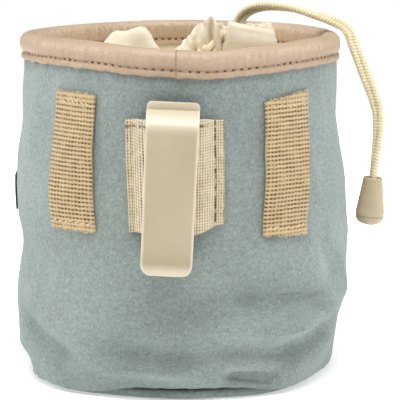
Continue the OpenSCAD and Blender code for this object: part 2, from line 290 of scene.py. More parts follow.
class Finish:
    """A procedural material, with short ways to add its nodes."""

    def __init__(self, name, **shader):
        self.material = bpy.data.materials.new(name)
        self.material.use_nodes = True
        self.tree = self.material.node_tree
        self.shader = self.tree.nodes["Principled BSDF"]
        for socket, value in shader.items():
            self.shader.inputs[socket.replace("_", " ")].default_value = value

    def node(self, kind, sockets=None, **settings):
        made = self.tree.nodes.new("ShaderNode" + kind)
        for name, value in settings.items():
            setattr(made, name, value)
        for name, value in (sockets or {}).items():
            if isinstance(value, bpy.types.NodeSocket):
                self.tree.links.new(value, made.inputs[name])
            else:
                made.inputs[name].default_value = value
        return made

    def place(self, scale=(1, 1, 1)):
        """Position on the object, in metres, stretched."""
        where = self.node("TexCoord").outputs["Object"]
        return self.node("Mapping", {"Vector": where, "Scale": scale}).outputs["Vector"]

    def noise(self, scale, detail=3, rough=0.55, stretch=(1, 1, 1)):
        sockets = {"Vector": self.place(stretch), "Scale": scale, "Detail": detail, "Roughness": rough}
        return self.node("TexNoise", sockets).outputs["Fac"]

    def value(self, name):
        """A value stored on the mesh's points."""
        return self.node("Attribute", attribute_name=name).outputs["Fac"]

    def ramp(self, factor, stops):
        """Colours (sRGB, 0 to 255) or greys at places along a factor."""
        made = self.node("ValToRGB", {"Fac": factor})
        elements = made.color_ramp.elements
        while len(elements) < len(stops):
            elements.new(0.5)
        for element, (place, colour) in zip(elements, stops):
            element.position = place
            element.color = rgb(*colour) if hasattr(colour, "__len__") else (colour, colour, colour, 1)
        return made.outputs["Color"]

    def mix(self, factor, a, b, how="MIX"):
        made = self.node("MixRGB", {"Fac": factor, "Color1": a, "Color2": b}, blend_type=how)
        return made.outputs["Color"]

    def shade(self, tone, factor, stops):
        """A tone multiplied by a ramp."""
        return self.mix(1.0, tone, self.ramp(factor, stops), "MULTIPLY")

    def colour(self, socket):
        self.tree.links.new(socket, self.shader.inputs["Base Color"])

    def rough(self, socket):
        self.tree.links.new(socket, self.shader.inputs["Roughness"])

    def bump(self, height, distance, strength=1.0, under=None):
        """Relief of that many metres; under is a coarser relief below it."""
        sockets = {"Height": height, "Distance": distance, "Strength": strength}
        if under is not None:
            sockets["Normal"] = under
        made = self.node("Bump", sockets).outputs["Normal"]
        self.tree.links.new(made, self.shader.inputs["Normal"])
        return made


def rgb(red, green, blue):
    """An sRGB colour from 0 to 255 as a linear one."""
    parts = [c / 255 for c in (red, green, blue)]
    return tuple(c / 12.92 if c <= 0.04045 else ((c + 0.055) / 1.055) ** 2.4 for c in parts) + (1.0,)


def plain_finish(name, dark, light, mottle, relief=None, **shader):
    """Two close tones over a noise (scale, detail), with a fine relief (scale, detail, height, strength)."""
    f = Finish(name, **shader)
    f.colour(f.ramp(f.noise(*mottle), [(0.3, dark), (0.7, light)]))
    if relief:
        f.bump(f.noise(*relief[:2]), *relief[2:])
    return f.material


def softshell_finish():
    """Grey-green softshell with a brushed face."""
    f = Finish("softshell_brushed", Roughness=0.92, Sheen_Weight=0.45, Sheen_Roughness=0.45)
    f.shader.inputs["Sheen Tint"].default_value = rgb(226, 238, 234)
    nap = f.noise(1500, 4, 0.7, (1, 1, 0.75))
    tone = f.ramp(f.noise(38), [(0.25, (132, 144, 141)), (0.75, (149, 160, 156))])
    tone = f.shade(tone, nap, [(0.28, 0.64), (0.5, 0.96), (0.75, 1.22)])
    tone = f.shade(tone, f.noise(520, 3, 0.6, (1, 1, 1.6)), [(0.3, 0.86), (0.7, 1.1)])
    # Painted shade from a value stored on the mesh: darker in the tuck at the wall's foot and in the base's
    # seam.
    f.colour(f.shade(tone, f.value("groove"), [(0.0, 1.0), (1.0, 0.42)]))
    soft = f.bump(f.noise(260), 0.0006, 0.35)
    f.bump(nap, 0.0006, 0.7, soft)
    return f.material


def leather_finish():
    """Beige grained leather for the binding."""
    f = Finish("binding_grain", Roughness=0.46, Coat_Weight=0.08, Coat_Roughness=0.35)
    sockets = {"Vector": f.place(), "Scale": 1500}
    grain = f.node("TexVoronoi", sockets, feature="SMOOTH_F1").outputs["Distance"]
    tone = f.ramp(f.noise(55, 4), [(0.25, (178, 155, 129)), (0.75, (194, 171, 146))])
    tone = f.shade(tone, grain, [(0.0, 0.93), (0.7, 1.04)])
    # Painted shade from a value stored on the mesh, towards this darker tan: low on the bead, along the
    # stitches, on the lower strip and at the lapped end.
    f.colour(f.shade(tone, f.value("groove"), [(0.0, (255, 255, 255)), (1.0, (178, 146, 122))]))
    f.rough(f.ramp(f.noise(300), [(0.3, 0.38), (0.7, 0.56)]))
    creases = f.bump(f.noise(160, 4, stretch=(1, 1, 0.35)), 0.0005, 0.3)
    f.bump(grain, 0.00025, 0.5, creases)
    return f.material


def closure_finish():
    """Thin cream cloth with a fine weave."""
    f = Finish("closure_cloth", Roughness=0.62, Sheen_Weight=0.35, Sheen_Roughness=0.4)
    tone = f.ramp(f.noise(70, 4), [(0.25, (221, 210, 186)), (0.75, (237, 228, 208))])
    # Painted shade from a value stored on the mesh, towards this darker tan, in the pleats.
    f.colour(f.shade(tone, f.value("groove"), [(0.0, (255, 255, 255)), (1.0, (190, 168, 118))]))
    creases = f.bump(f.noise(420, 4), 0.0004, 0.35)
    f.bump(f.noise(2400, 2), 0.00015, 0.5, creases)
    return f.material


def webbing_finish(name, gap_shade, yarn, crest):
    """Woven webbing: painted shade where the mesh says that its yarns part, a painted highlight on their
    crests.
    """
    f = Finish(name, Roughness=0.78, Sheen_Weight=0.3, Sheen_Roughness=0.5)
    weave = f.ramp(f.value("groove"), [(0.0, crest), (0.35, yarn), (0.9, gap_shade)])
    f.colour(f.shade(weave, f.noise(240, 4), [(0.3, 0.88), (0.7, 1.07)]))
    f.bump(f.noise(2300), 0.0003, 0.55)
    return f.material


def clip_finish():
    """Satin moulded plastic."""
    f = Finish("clip_moulded", Roughness=0.36, Coat_Weight=0.4, Coat_Roughness=0.25)
    f.shader.inputs["Subsurface Weight"].default_value = 0.08
    f.shader.inputs["Subsurface Scale"].default_value = 0.002
    tone = f.ramp(f.noise(45, 5), [(0.3, (172, 160, 130)), (0.7, (181, 170, 141))])
    # A painted highlight: the colour turns to this pale cream on the rims, tab, bend and lip, by a value
    # stored on the mesh.
    f.colour(f.mix(f.value("painted_highlight"), tone, rgb(222, 211, 187)))
    f.rough(f.ramp(f.noise(260, 5), [(0.35, 0.31), (0.7, 0.44)]))
    f.bump(f.noise(1800), 0.00006, 0.5)
    return f.material


def bell_finish():
    """Matt moulded plastic, a little darker than the clip."""
    f = Finish("bell_moulded", Roughness=0.42, Coat_Weight=0.3, Coat_Roughness=0.3)
    tone = f.ramp(f.noise(160, 4), [(0.3, (180, 163, 130)), (0.7, (194, 178, 146))])
    # Painted shade from a value stored on the mesh: inside the bell and where it meets its cap.
    f.colour(f.shade(tone, f.value("groove"), [(0.0, 1.0), (1.0, 0.45)]))
    f.bump(f.noise(1500), 0.00008, 0.5)
    return f.material


def rope_finish():
    """Cream braided cord."""
    f = Finish("rope_braid", Roughness=0.7, Sheen_Weight=0.35, Sheen_Roughness=0.4)
    # Painted shade between the braid's yarns, from a value stored on the mesh.
    stops = [(0.0, (234, 223, 189)), (0.5, (228, 214, 174)), (1.0, (206, 188, 142))]
    braid = f.ramp(f.value("groove"), stops)
    f.colour(f.shade(braid, f.noise(500), [(0.3, 0.92), (0.7, 1.06)]))
    f.bump(f.noise(2600, 2), 0.0002, 0.5)
    return f.material


def label_finish():
    """Near-black woven ribbon."""
    f = Finish("label_ribbon", Roughness=0.75, Sheen_Weight=0.3)
    weave = f.node("TexWave", {"Vector": f.place(), "Scale": 700, "Distortion": 1.0}, bands_direction="Z")
    f.colour(f.ramp(weave.outputs["Fac"], [(0.2, (20, 22, 25)), (0.8, (44, 47, 52))]))
    f.bump(weave.outputs["Fac"], 0.0001, 0.6)
    return f.material


def thread_finish(name, dark, light):
    """Twisted sewing thread."""
    return plain_finish(name, dark, light, (1400, 3), (2600, 2, 0.0002, 0.6), Roughness=0.7, Sheen_Weight=0.3)


CLOTH = softshell_finish()
LINING = plain_finish(
    "lining_nylon", (178, 174, 164), (205, 201, 190), (120, 4), (1600, 2, 0.0002, 0.5),
    Roughness=0.6, Sheen_Weight=0.2,
)
STIFF = plain_finish(
    "stiffener_plastic", (205, 205, 200), (232, 232, 228), (200, 4), (900, 3, 0.0001, 0.4), Roughness=0.5
)
LEATHER = leather_finish()
TAN_THREAD = thread_finish("tan_thread", (190, 158, 126), (216, 188, 158))
PALE_THREAD = thread_finish("pale_thread", (196, 172, 128), (226, 206, 164))
BLACK_THREAD = thread_finish("black_thread", (34, 36, 40), (62, 66, 72))
# The needle holes are painted shade.
HOLE_SHADE = plain_finish("needle_hole_shade", (88, 66, 50), (112, 88, 68), (900, 2), Roughness=0.95)
NYLON = closure_finish()
# Each webbing's colours: painted shade in its gaps, its yarn, and a painted highlight on its crests.
TAN_WEBBING = webbing_finish("loop_weave", (92, 66, 36), (158, 132, 90), (194, 170, 128))
PALE_WEBBING = webbing_finish("band_weave", (92, 66, 40), (184, 168, 135), (212, 199, 169))
PLASTIC = clip_finish()
BELL = bell_finish()
ROPE = rope_finish()
RIBBON = label_finish()

# ---------------------------------------------------------------- the pouch's skin

SEAM_Z = low("outer_wall")[2]
RIM_TOP = high("outer_wall")[2]
POUCH_H = high("rim_binding")[2]
BINDING_Z = low("rim_binding")[2]
CLOTH_TOP = RIM_TOP - 1.1
STIFFENER_Z = low("rim_stiffener")[2]
BELLY_R = high("outer_wall")[0]
BELLY_Z = 35
FOOT_R = 50.5
RIM_R = 53.6
CLOTH_T = 1.6
LINING_T = 0.8
STIFF_T = 0.8


def bent(a, b, c, t):
    """A quadratic curve from a to c, drawn towards b."""
    a, b, c = (np.array(p, float) for p in (a, b, c))
    t = t[:, None]
    return (1 - t) ** 2 * a + 2 * t * (1 - t) * b + t * t * c


STEPS = np.linspace(0, 1, 25)
WALL = np.vstack([
    bent((SEAM_Z, FOOT_R), (SEAM_Z + 5, BELLY_R), (BELLY_Z, BELLY_R), STEPS),
    bent((BELLY_Z, BELLY_R), (BELLY_Z + 40, BELLY_R), (POUCH_H, RIM_R), STEPS[1:]),
])

# How far the soft rim stands out or in round the pouch, and how far it rises: (azimuth, mm).
RIM_PLAN = [
    (-165, -6.6), (-135, -6.4), (-108, -2.6), (-90, -0.2), (-72, -2.6), (-50, -4.6), (-30, -2.7),
    (0, -1.0), (45, -1.6), (90, -0.3), (112, -1.4), (135, -2.7), (165, -5.4),
]
RIM_RISE = [
    (-150, 0.5), (-90, 0.9), (-45, 1.5), (-30, 1.4), (-16, 0.6), (0, -0.1), (8, -0.5), (24, 0.1),
    (42, 0.75), (56, 1.1), (90, 0.9), (150, 0.5),
]
# How far the two sides bulge or dent: (height, mm).
LEFT_SIDE = [
    (3.6, 0), (9, 0.9), (15, 1.2), (20, 0.6), (29, 0.1), (38, -0.5), (47, -1.7), (56, -0.2),
    (79, 0), (92, -0.6), (106, -0.3), (117, -0.3),
]
RIGHT_SIDE = [
    (3.6, 0.2), (9, -1.0), (15, -1.7), (20, -2.0), (25, -1.0), (30, 0.5), (38, 0.9), (47, 0.7),
    (56, 0.1), (70, -0.8), (79, -1.3), (92, -1.9), (106, -1.5), (117, -1.3),
]
# How far the foot of the slack cloth stands out or in round the pouch: (azimuth, mm).
FOOT_PLAN = [
    (-160, -1.0), (-125, -0.4), (-100, -1.4), (-88, -1.6), (-80, -0.2), (-72, 1.8), (-62, 2.9), (-48, 2.9),
    (-38, 2.2), (-30, 0.8), (-22, 0.0), (-15, -0.3), (0, 0), (20, -0.6), (30, 0.2), (40, 0.5), (50, -0.6),
    (60, -2.2), (70, -3.4), (82, -1.6), (95, 0.0), (130, -1.0),
]
# Where the cloth sags over the base's seam and down to the floor: (azimuth, mm).
FOOT_SAG = [
    (-150, 2.6), (-60, 2.8), (-30, 2.2), (-19, 0.3), (-8, 0),
    (12, 0), (24, 0.4), (36, 2.2), (60, 2.8), (150, 2.6),
]
# Valleys (and, with a negative depth, ridges) of the slack cloth low on the body:
# azimuth and height of both ends, width, depth.
FOLDS = [
    (0, 34.5, 26, 33.5, 5.0, 1.5),
    (18, 34.0, 60, 31.0, 5.4, 2.8),
    (4, 26.5, 50, 23.5, 4.0, -2.6),
    (-26, 17.6, 10, 15.6, 3.8, 1.6),
    (-30, 11.4, 6, 10.4, 2.6, -2.0),
    (16, 9.0, 36, 7.0, 1.8, 2.9),
    (12, 13.5, 40, 12.0, 2.0, -1.2),
    (36, 33.4, 56, 32.4, 1.3, 1.2),
    (28, 12.5, 72, 20.5, 4.0, 3.1),
    (34, 20.5, 70, 27.5, 2.6, -2.0),
    (-108, 6.0, -70, 7.6, 2.2, 3.0),
    (-72, 23, -38, 12, 4.0, 2.6),
    (-78, 48, -50, 36, 6.0, 0.9),
    (66, 46, 78, 26, 4.0, -0.9),
    (54, 52, 64, 36, 4.0, 1.2),
    (84, 40, 128, 27, 5.0, 1.8),
    (108, 15, 160, 19, 4.0, 1.6),
    (150, 36, 205, 30, 5.0, 1.8),
    (196, 14, 232, 10, 3.0, 1.5),
    (222, 44, 262, 35, 4.5, 1.8),
    (168, 58, 188, 40, 6.0, 1.2),
]
# Arc length of one degree of azimuth on the cloth.
SKIN_ARC = math.radians(1) * 55


def fold(az, z, az_a, z_a, az_b, z_b, width, depth):
    """How far one fold draws the skin in."""
    middle = (az_a + az_b) / 2
    x = turned(az - middle) * SKIN_ARC
    half, drop = (az_b - az_a) / 2 * SKIN_ARC, (z_b - z_a) / 2
    z = z - (z_a + z_b) / 2
    length = math.hypot(half, drop)
    along = (x * half + z * drop) / length
    across = (z * half - x * drop) / length
    fade = smooth(along, -length * 1.25, -length * 0.5) * (1 - smooth(along, length * 0.5, length * 1.25))
    shape = hump(across, 0, width) - 0.28 * hump(np.abs(across), 2 * width, width)
    return -depth * fade * shape


def skin(az, z):
    """The outside radius of the cloth."""
    az, z = np.broadcast_arrays(np.asarray(az, float), np.asarray(z, float))
    r = np.interp(z, WALL[:, 0], WALL[:, 1])
    r = r + around(az, RIM_PLAN) * smooth(z, 62, 112)
    r = r + around(az, FOOT_PLAN) * (1 - smooth(z, 1, 15))
    for middle, side in ((-90, LEFT_SIDE), (90, RIGHT_SIDE)):
        facing = np.cos(np.radians(az - middle)).clip(0) ** 2
        r = r + facing * through(z, *np.array(side).T)
    for ends in FOLDS:
        r = r + fold(az, z, *ends)
    spot = round_the_axis(az, 50, z)
    return r + 0.3 * waves(spot, 24, 4) + 0.1 * waves(spot, 9, 5)


def on_skin(az, z, out=0.0):
    """Points at a distance in front of the cloth."""
    az, z, out = np.broadcast_arrays(*(np.asarray(v, float) for v in (az, z, out)))
    rise = around(az, RIM_RISE) * smooth(z, 90, 108)
    return round_the_axis(az, skin(az, z) + out, z + rise)


def outwards(az):
    """The level direction away from the pouch's axis."""
    return round_the_axis(az, 1, 0)


# ---------------------------------------------------------------- body, base and lining


def make_wall():
    """The softshell's wall, rolled in at its foot and slack above the seam."""
    az = np.linspace(-180, 180, 420, endpoint=False)
    outside = np.linspace(SEAM_Z + 0.6, CLOTH_TOP, 132)
    inside = np.linspace(CLOTH_TOP, SEAM_Z + 0.9, 18)
    tuck = SEAM_Z + 2.2
    slack_top = SEAM_Z + 11
    sag = around(az, FOOT_SAG)
    rows, painted_shades = [], []
    for z in outside:
        turn_in = max(0.0, (tuck - z) / (tuck - outside[0]))
        out = -CLOTH_T * (1 - math.sqrt(1 - 0.96 * turn_in**2))
        puckers = 0.3 * ring_waves(az, 5, 11) * math.exp(-(z - SEAM_Z) / 2.6)
        drawn = 0.16 * ring_waves(az, 3.4, 12) * math.exp(-(BINDING_Z - z) / 2.4) if z < BINDING_Z else 0
        rows.append(on_skin(az, z, out + puckers + drawn) - lift(sag * (1 - smooth(z, SEAM_Z, slack_top))))
        # Painted shade where the wall rolls in under its foot.
        painted_shades.append(np.full(len(az), 0.9 * turn_in**3))
    for z in inside:
        rows.append(on_skin(az, z, -CLOTH_T) - lift(0.8 * sag * (1 - smooth(z, SEAM_Z, slack_top))))
        painted_shades.append(np.zeros(len(az)))
    return Shape().rings(rows, groove=painted_shades).piece("softshell_wall", "softshell", [CLOTH], "outer_wall")


def disc(profile, az, puckers=0.0):
    """Rings that follow the pouch's foot; the profile is (inset, height)."""
    rows = []
    for inset, z in profile:
        edge = skin(az, SEAM_Z) + puckers * ring_waves(az, 4.2, 21) * math.exp(-inset / 1.6)
        edge = edge - 0.55 * around(az, FOOT_SAG) * math.exp(-inset / 4)
        rows.append(round_the_axis(az, edge - inset if inset < 12 else edge * (1 - inset / FOOT_R), z))
    return rows


def fan_discs(upper, lower, az):
    """Joins two discs at their edges and closes both at the middle."""
    rows = lower[::-1] + upper
    count, n = len(rows), len(az)
    points = np.vstack(rows + [[[0, 0, lower[-1][0][2]]], [[0, 0, upper[-1][0][2]]]])
    faces = grid(count, n, wrap_columns=True)
    faces += [[count * n, (j + 1) % n, j] for j in range(n)]
    last = (count - 1) * n
    faces += [[count * n + 1, last + j, last + (j + 1) % n] for j in range(n)]
    return points, faces


def make_base():
    az = np.linspace(-180, 180, 300, endpoint=False)
    outside = disc([
        (0.9, 3.75), (0.35, 3.3), (0.05, 2.7), (0.0, 2.1), (0.15, 1.5), (0.55, 0.9), (1.2, 0.45),
        (2.2, 0.18), (3.6, 0.05), (6, 0.02), (10, 0.05), (18, 0.15), (28, 0.3), (38, 0.45), (46, 0.5),
    ], az, 0.22)
    inside = disc([
        (1.8, 3.6), (2.4, 2.8), (3.2, 2.1), (5, 1.7), (9, 1.65), (20, 1.8), (35, 2.0), (46, 2.1),
    ], az)
    points, faces = fan_discs(inside, outside, az)
    radius = np.hypot(points[:, 0], points[:, 1])
    # Painted shade in the seam's groove round the foot.
    groove = 0.85 * smooth(points[:, 2], 3.0, 3.7) * smooth(radius, 44, 48)
    shape = Shape().add(points, faces, groove=groove)
    return shape.piece("softshell_base", "softshell", [CLOTH], "outer_base")


def make_lining_floor():
    az = np.linspace(-180, 180, 120, endpoint=False)
    below = disc([(1.9, 3.7), (2.6, 2.9), (3.6, 2.2), (6, 1.8), (12, 1.9), (30, 2.0), (46, 2.2)], az)
    above = disc([(2.7, 3.8), (3.3, 3.2), (4.4, 2.8), (7, 2.6), (12, 2.6), (30, 2.8), (46, 3.0)], az)
    return Shape().add(*fan_discs(above, below, az)).piece("lining_floor", "lining", [LINING], "lining_base")


def layer(name, finish, slot, node, z_low, z_high, outer, inner, wrinkles=0.0):
    """A closed layer that follows the skin between two depths."""
    az = np.linspace(-180, 180, 240, endpoint=False)
    heights = np.linspace(z_low, z_high, 26)
    sag = wrinkles * ring_waves(az, 9, 31)
    rows = [on_skin(az, z, -outer) for z in heights]
    rows += [on_skin(az, z, -inner - sag * smooth(z, 20, 60)) for z in heights[::-1]]
    return Shape().rings(rows).piece(name, slot, [finish], node)


# ---------------------------------------------------------------- the binding

LAP_AZ = -1.6
STITCH_LINE = 2.4
STITCH_COUNT = 116

# The binding's section: distance in front of the cloth, height above the binding's lower edge.
BINDING_OUTSIDE = [
    (0.05, 0.25), (0.45, 0.0), (0.95, 0.12), (1.12, 0.6), (1.12, 1.2), (0.98, 1.75), (0.6, 2.15),
    (0.42, 2.4), (0.62, 2.7), (1.05, 3.15), (1.4, 3.8), (1.58, 4.6), (1.58, 5.6), (1.42, 6.8),
    (1.0, 7.6), (0.35, 8.35), (-0.5, 8.8), (-1.5, 8.98), (-2.5, 8.9), (-3.4, 8.55), (-4.1, 7.9),
    (-4.5, 7.0), (-4.62, 5.7), (-4.55, 4.4), (-4.3, 3.2), (-4.0, 2.6), (-3.9, 2.4), (-4.05, 2.1),
    (-4.35, 1.6), (-4.4, 0.8), (-4.25, 0.15), (-3.75, 0.0), (-3.3, 0.2),
]
BINDING_INSIDE = [(-3.25, 3), (-3.25, 7.5), (-2.4, 7.9), (-0.9, 7.9), (0.03, 7.5), (0.03, 3)]


def binding_out(az):
    """How far the lapped end lifts the binding, and the puckers beside it."""
    past = turned(az - LAP_AZ)
    lap = np.where(past > 0, 0.55 * np.exp(-past.clip(0) / 7), 0)
    puckers = 0.16 * np.sin(np.radians(past) * 190) * hump(past, 4.5, 3.2)
    return lap + puckers


def make_binding():
    """The leather strip folded over the rim, creased along its stitches and lapped at the front."""
    az = np.linspace(-180, 180, 760, endpoint=False)
    az = np.sort(np.concatenate([az[np.abs(az - LAP_AZ) > 0.2], [LAP_AZ - 0.07, LAP_AZ + 0.07]]))
    slack = 0.12 * ring_waves(az, 14, 43)
    # Painted shade along the lapped end's edge.
    lap_edge_shade = 0.8 * hump(turned(az - LAP_AZ), 0, 0.12)
    rows, painted_shades = [], []
    for out, up in BINDING_OUTSIDE:
        face = out > -1.6
        sewn = hump(up, STITCH_LINE, 0.32)
        pull = -0.13 * hump(up, STITCH_LINE, 1.2) * np.cos(np.radians(az) * STITCH_COUNT)
        wrinkles = ring_waves(az, 4.5, 41 if face else 42) * (0.1 if face else 0.26)
        wrinkles = wrinkles * smooth(up, 2.6, 4.5) * (1 - 0.7 * smooth(up, 7, 9.5))
        lap = binding_out(az) if out > -0.7 else 0
        extra = (pull + wrinkles + slack + lap) * (1 if face else -1)
        wave = 0.14 * ring_waves(az, 7, 44) * (1 - smooth(up, 0, 2))
        rows.append(on_skin(az, BINDING_Z + up, out + extra) + lift(wave))
        # Painted shade: along the stitches inside the rim; on the bead just above the stitches outside; and
        # on the lower strip, darkest at its lower edge.
        if not face:
            groove = 0.85 * sewn
        elif up > STITCH_LINE:
            groove = 0.34 * (1 - smooth(up, 3.0, 6.2)) + 0.3 * sewn
        else:
            groove = 0.16 + 0.4 * (1 - smooth(up, 0.1, 0.7)) + 0.3 * sewn
        painted_shades.append(np.maximum(groove, lap_edge_shade))
    for out, up in BINDING_INSIDE:
        rows.append(on_skin(az, BINDING_Z + up, out))
        painted_shades.append(lap_edge_shade)
    shape = Shape().rings(rows, groove=painted_shades)
    return shape.piece("leather_binding", "binding_leather", [LEATHER], "rim_binding")


def make_binding_thread():
    """Stitches and needle holes, outside and inside the rim."""
    shape = Shape()
    step = 360 / STITCH_COUNT
    z = BINDING_Z + STITCH_LINE
    for side, out in ((1, 0.5), (-1, -3.98)):
        for i in range(STITCH_COUNT):
            az = LAP_AZ + (i + 0.5) * step
            a, b = on_skin(az + step * 0.24, z, out), on_skin(az + step * 0.76, z, out)
            lap = (binding_out(az) if side > 0 else 0) * outwards(az)
            way = outwards(az + step / 2) * side
            stitch(shape, a + lap, b + lap, way, 0.46, 0.1)
            hole(shape, on_skin(az, z, out - 0.04 * side) + lap, outwards(az) * side, 0.42)
    return shape.piece("binding_thread", "thread", [TAN_THREAD, HOLE_SHADE], "binding_stitching")


# ---------------------------------------------------------------- the gathered closure

MOUTH = (low("hem_tunnel") + high("hem_tunnel")) / 2
HEM_MIDDLE = MOUTH[2]
MOUTH_CENTRE = np.array([MOUTH[0], 0])
HEM_HALF_X = 14.2
HEM_HALF_Y = 11.8
# 2 would make the mouth an ellipse, and more squares its corners.
HEM_SQUARENESS = 2.7
HEM_TALL = 4.2
HEM_THICK = 2.1
# The smooth stretch of the hem, as angles round the mouth.
TUBE_FROM = -86
TUBE_TO = -14


def hem_line(angle):
    """The middle of the hem's channel round the mouth; the angle is from +X, and -90 is the front."""
    a = np.radians(angle)
    c, s = np.cos(a), np.sin(a)
    r = (np.abs(c) ** HEM_SQUARENESS + np.abs(s) ** HEM_SQUARENESS) ** (-1 / HEM_SQUARENESS)
    return MOUTH_CENTRE + np.stack([HEM_HALF_X * r * c, HEM_HALF_Y * r * s], -1)


def calm(angle):
    """1 along the smooth stretch of the hem at the front right, 0 where it is crumpled."""
    a = turned(angle)
    return smooth(a, TUBE_FROM - 1.5, TUBE_FROM + 1.5) * (1 - smooth(a, TUBE_TO - 2, TUBE_TO + 3))


def pleats(angle, seed=51):
    """Uneven folds round the mouth, from -1 (drawn in) to 1."""
    a = np.radians(angle)
    rng = np.random.default_rng(seed)
    phase = 17 * a + 1.5 * np.sin(3 * a + rng.uniform(0, 6)) + 1.1 * np.sin(5 * a + rng.uniform(0, 6))
    height = 0.75 + 0.25 * np.sin(4 * a + rng.uniform(0, 6))
    return np.sin(phase) * height + 0.2 * np.sin(2 * phase + 1.0)


def hem_top(angle):
    """How much higher or lower the hem's edge stands than its average."""
    a = turned(angle)
    lump = 3.2 * hump(a, -110, 10) - 5.2 * hump(a, -91.5, 3.6)
    tube = calm(angle) * (2.0 - 2.8 * (a - TUBE_FROM) / (TUBE_TO - TUBE_FROM))
    back = -1.6 * hump(a, 90, 60)
    return lump + tube + back + 0.6 * ring_waves(angle, 26, 52) * (1 - calm(angle))


def mouth_level(angle):
    """The height of the middle of the hem: it sinks at the left, and a little along its smooth stretch."""
    a = turned(angle)
    sunk = -8.5 * (1 - smooth(hem_line(angle)[..., 0], -1.0, 7.0))
    return HEM_MIDDLE + sunk - 1.6 * calm(angle) * (a - TUBE_FROM) / (TUBE_TO - TUBE_FROM)


def make_hem():
    """The sleeve's gathered upper edge, with the channel that the drawstring runs in."""
    angle = np.linspace(-180, 180, 620, endpoint=False)
    turns = np.linspace(0, 2 * np.pi, 40, endpoint=False)
    line = hem_line(angle)
    ahead = np.gradient(np.vstack([line[-1:], line, line[:1]]), axis=0)[1:-1]
    out = np.stack([ahead[:, 1], -ahead[:, 0]], -1)
    out /= np.linalg.norm(out, axis=1)[:, None]
    still = calm(angle)
    loose = 1 - still
    pleat = pleats(angle) * loose
    level = mouth_level(angle)
    crest = 1.5 * hump(turned(angle), -113, 4.5)
    points, painted_shades = [], []
    for t in turns:
        c, s = math.cos(t), math.sin(t)
        side = math.copysign(abs(c) ** 0.75, c)
        up = math.copysign(abs(s) ** 0.8, s)
        thick = HEM_THICK * (0.72 + 0.55 * still + 0.12 * ring_waves(angle, 15, 53) * loose)
        channel = 0.5 * hump(up, -0.1, 0.45) * (1 if c > 0 else 0.6)
        folds = pleat * (1.3 + 0.2 * up) + 0.14 * ring_waves(angle + 9 * up, 9, 54) * loose
        lines = 0.09 * np.sin(13 * up + 0.02 * angle) * still + 0.12 * ring_waves(angle, 20, 56) * still
        across = side * (thick + channel) + folds + lines + 0.8 * still + crest
        tall = HEM_TALL * (1 + 0.06 * still)
        wander = 0.25 * ring_waves(angle, 14, 55) * loose * abs(up)
        z = level + up * tall + hem_top(angle) * smooth(up, -1.4, 0.8) + wander
        points.append(np.column_stack([line + out * across[:, None], z]))
        # Painted shade in the valleys of the pleats.
        painted_shades.append(0.55 * smooth(-pleat * (1 if c > 0 else -1), 0.1, 1.0) * abs(c) ** 0.3)
    shape = Shape().rings(np.stack(points, 1), groove=np.stack(painted_shades, 1))
    return shape.piece("gathered_hem", "closure_nylon", [NYLON], "hem_tunnel")


SLEEVE_T = 0.35
# The sleeve's height on its way in, after the binding: share of the way from the rim to the mouth, height.
SLEEVE_RUN = [
    (0.06, 106.4), (0.14, 104.6), (0.3, 103.8), (0.55, 104.6), (0.75, 106.6), (0.9, 110.0), (1.0, 114.5),
]
# Slack cloth that billows up beside the mouth: x, y, height, reach along x, reach along y.
BILLOWS = [
    (-15.5, -17, 12.5, 9.5, 4.5),
    (-12.0, -17, 3.0, 3.0, 5.0),
    (-16.0, -26, 4.0, 8.0, 3.5),
    (-24.0, -19, 7.0, 7.0, 6.0),
    (17.5, -27, 5.6, 12.0, 5.0),
    (-7.0, -33, -1.5, 3.5, 8.0),
    (-20, 18, 5.0, 9.0, 8.0),
    (10, 27, 4.0, 12.0, 6.0),
    (38, 10, 3.5, 5.0, 12.0),
]


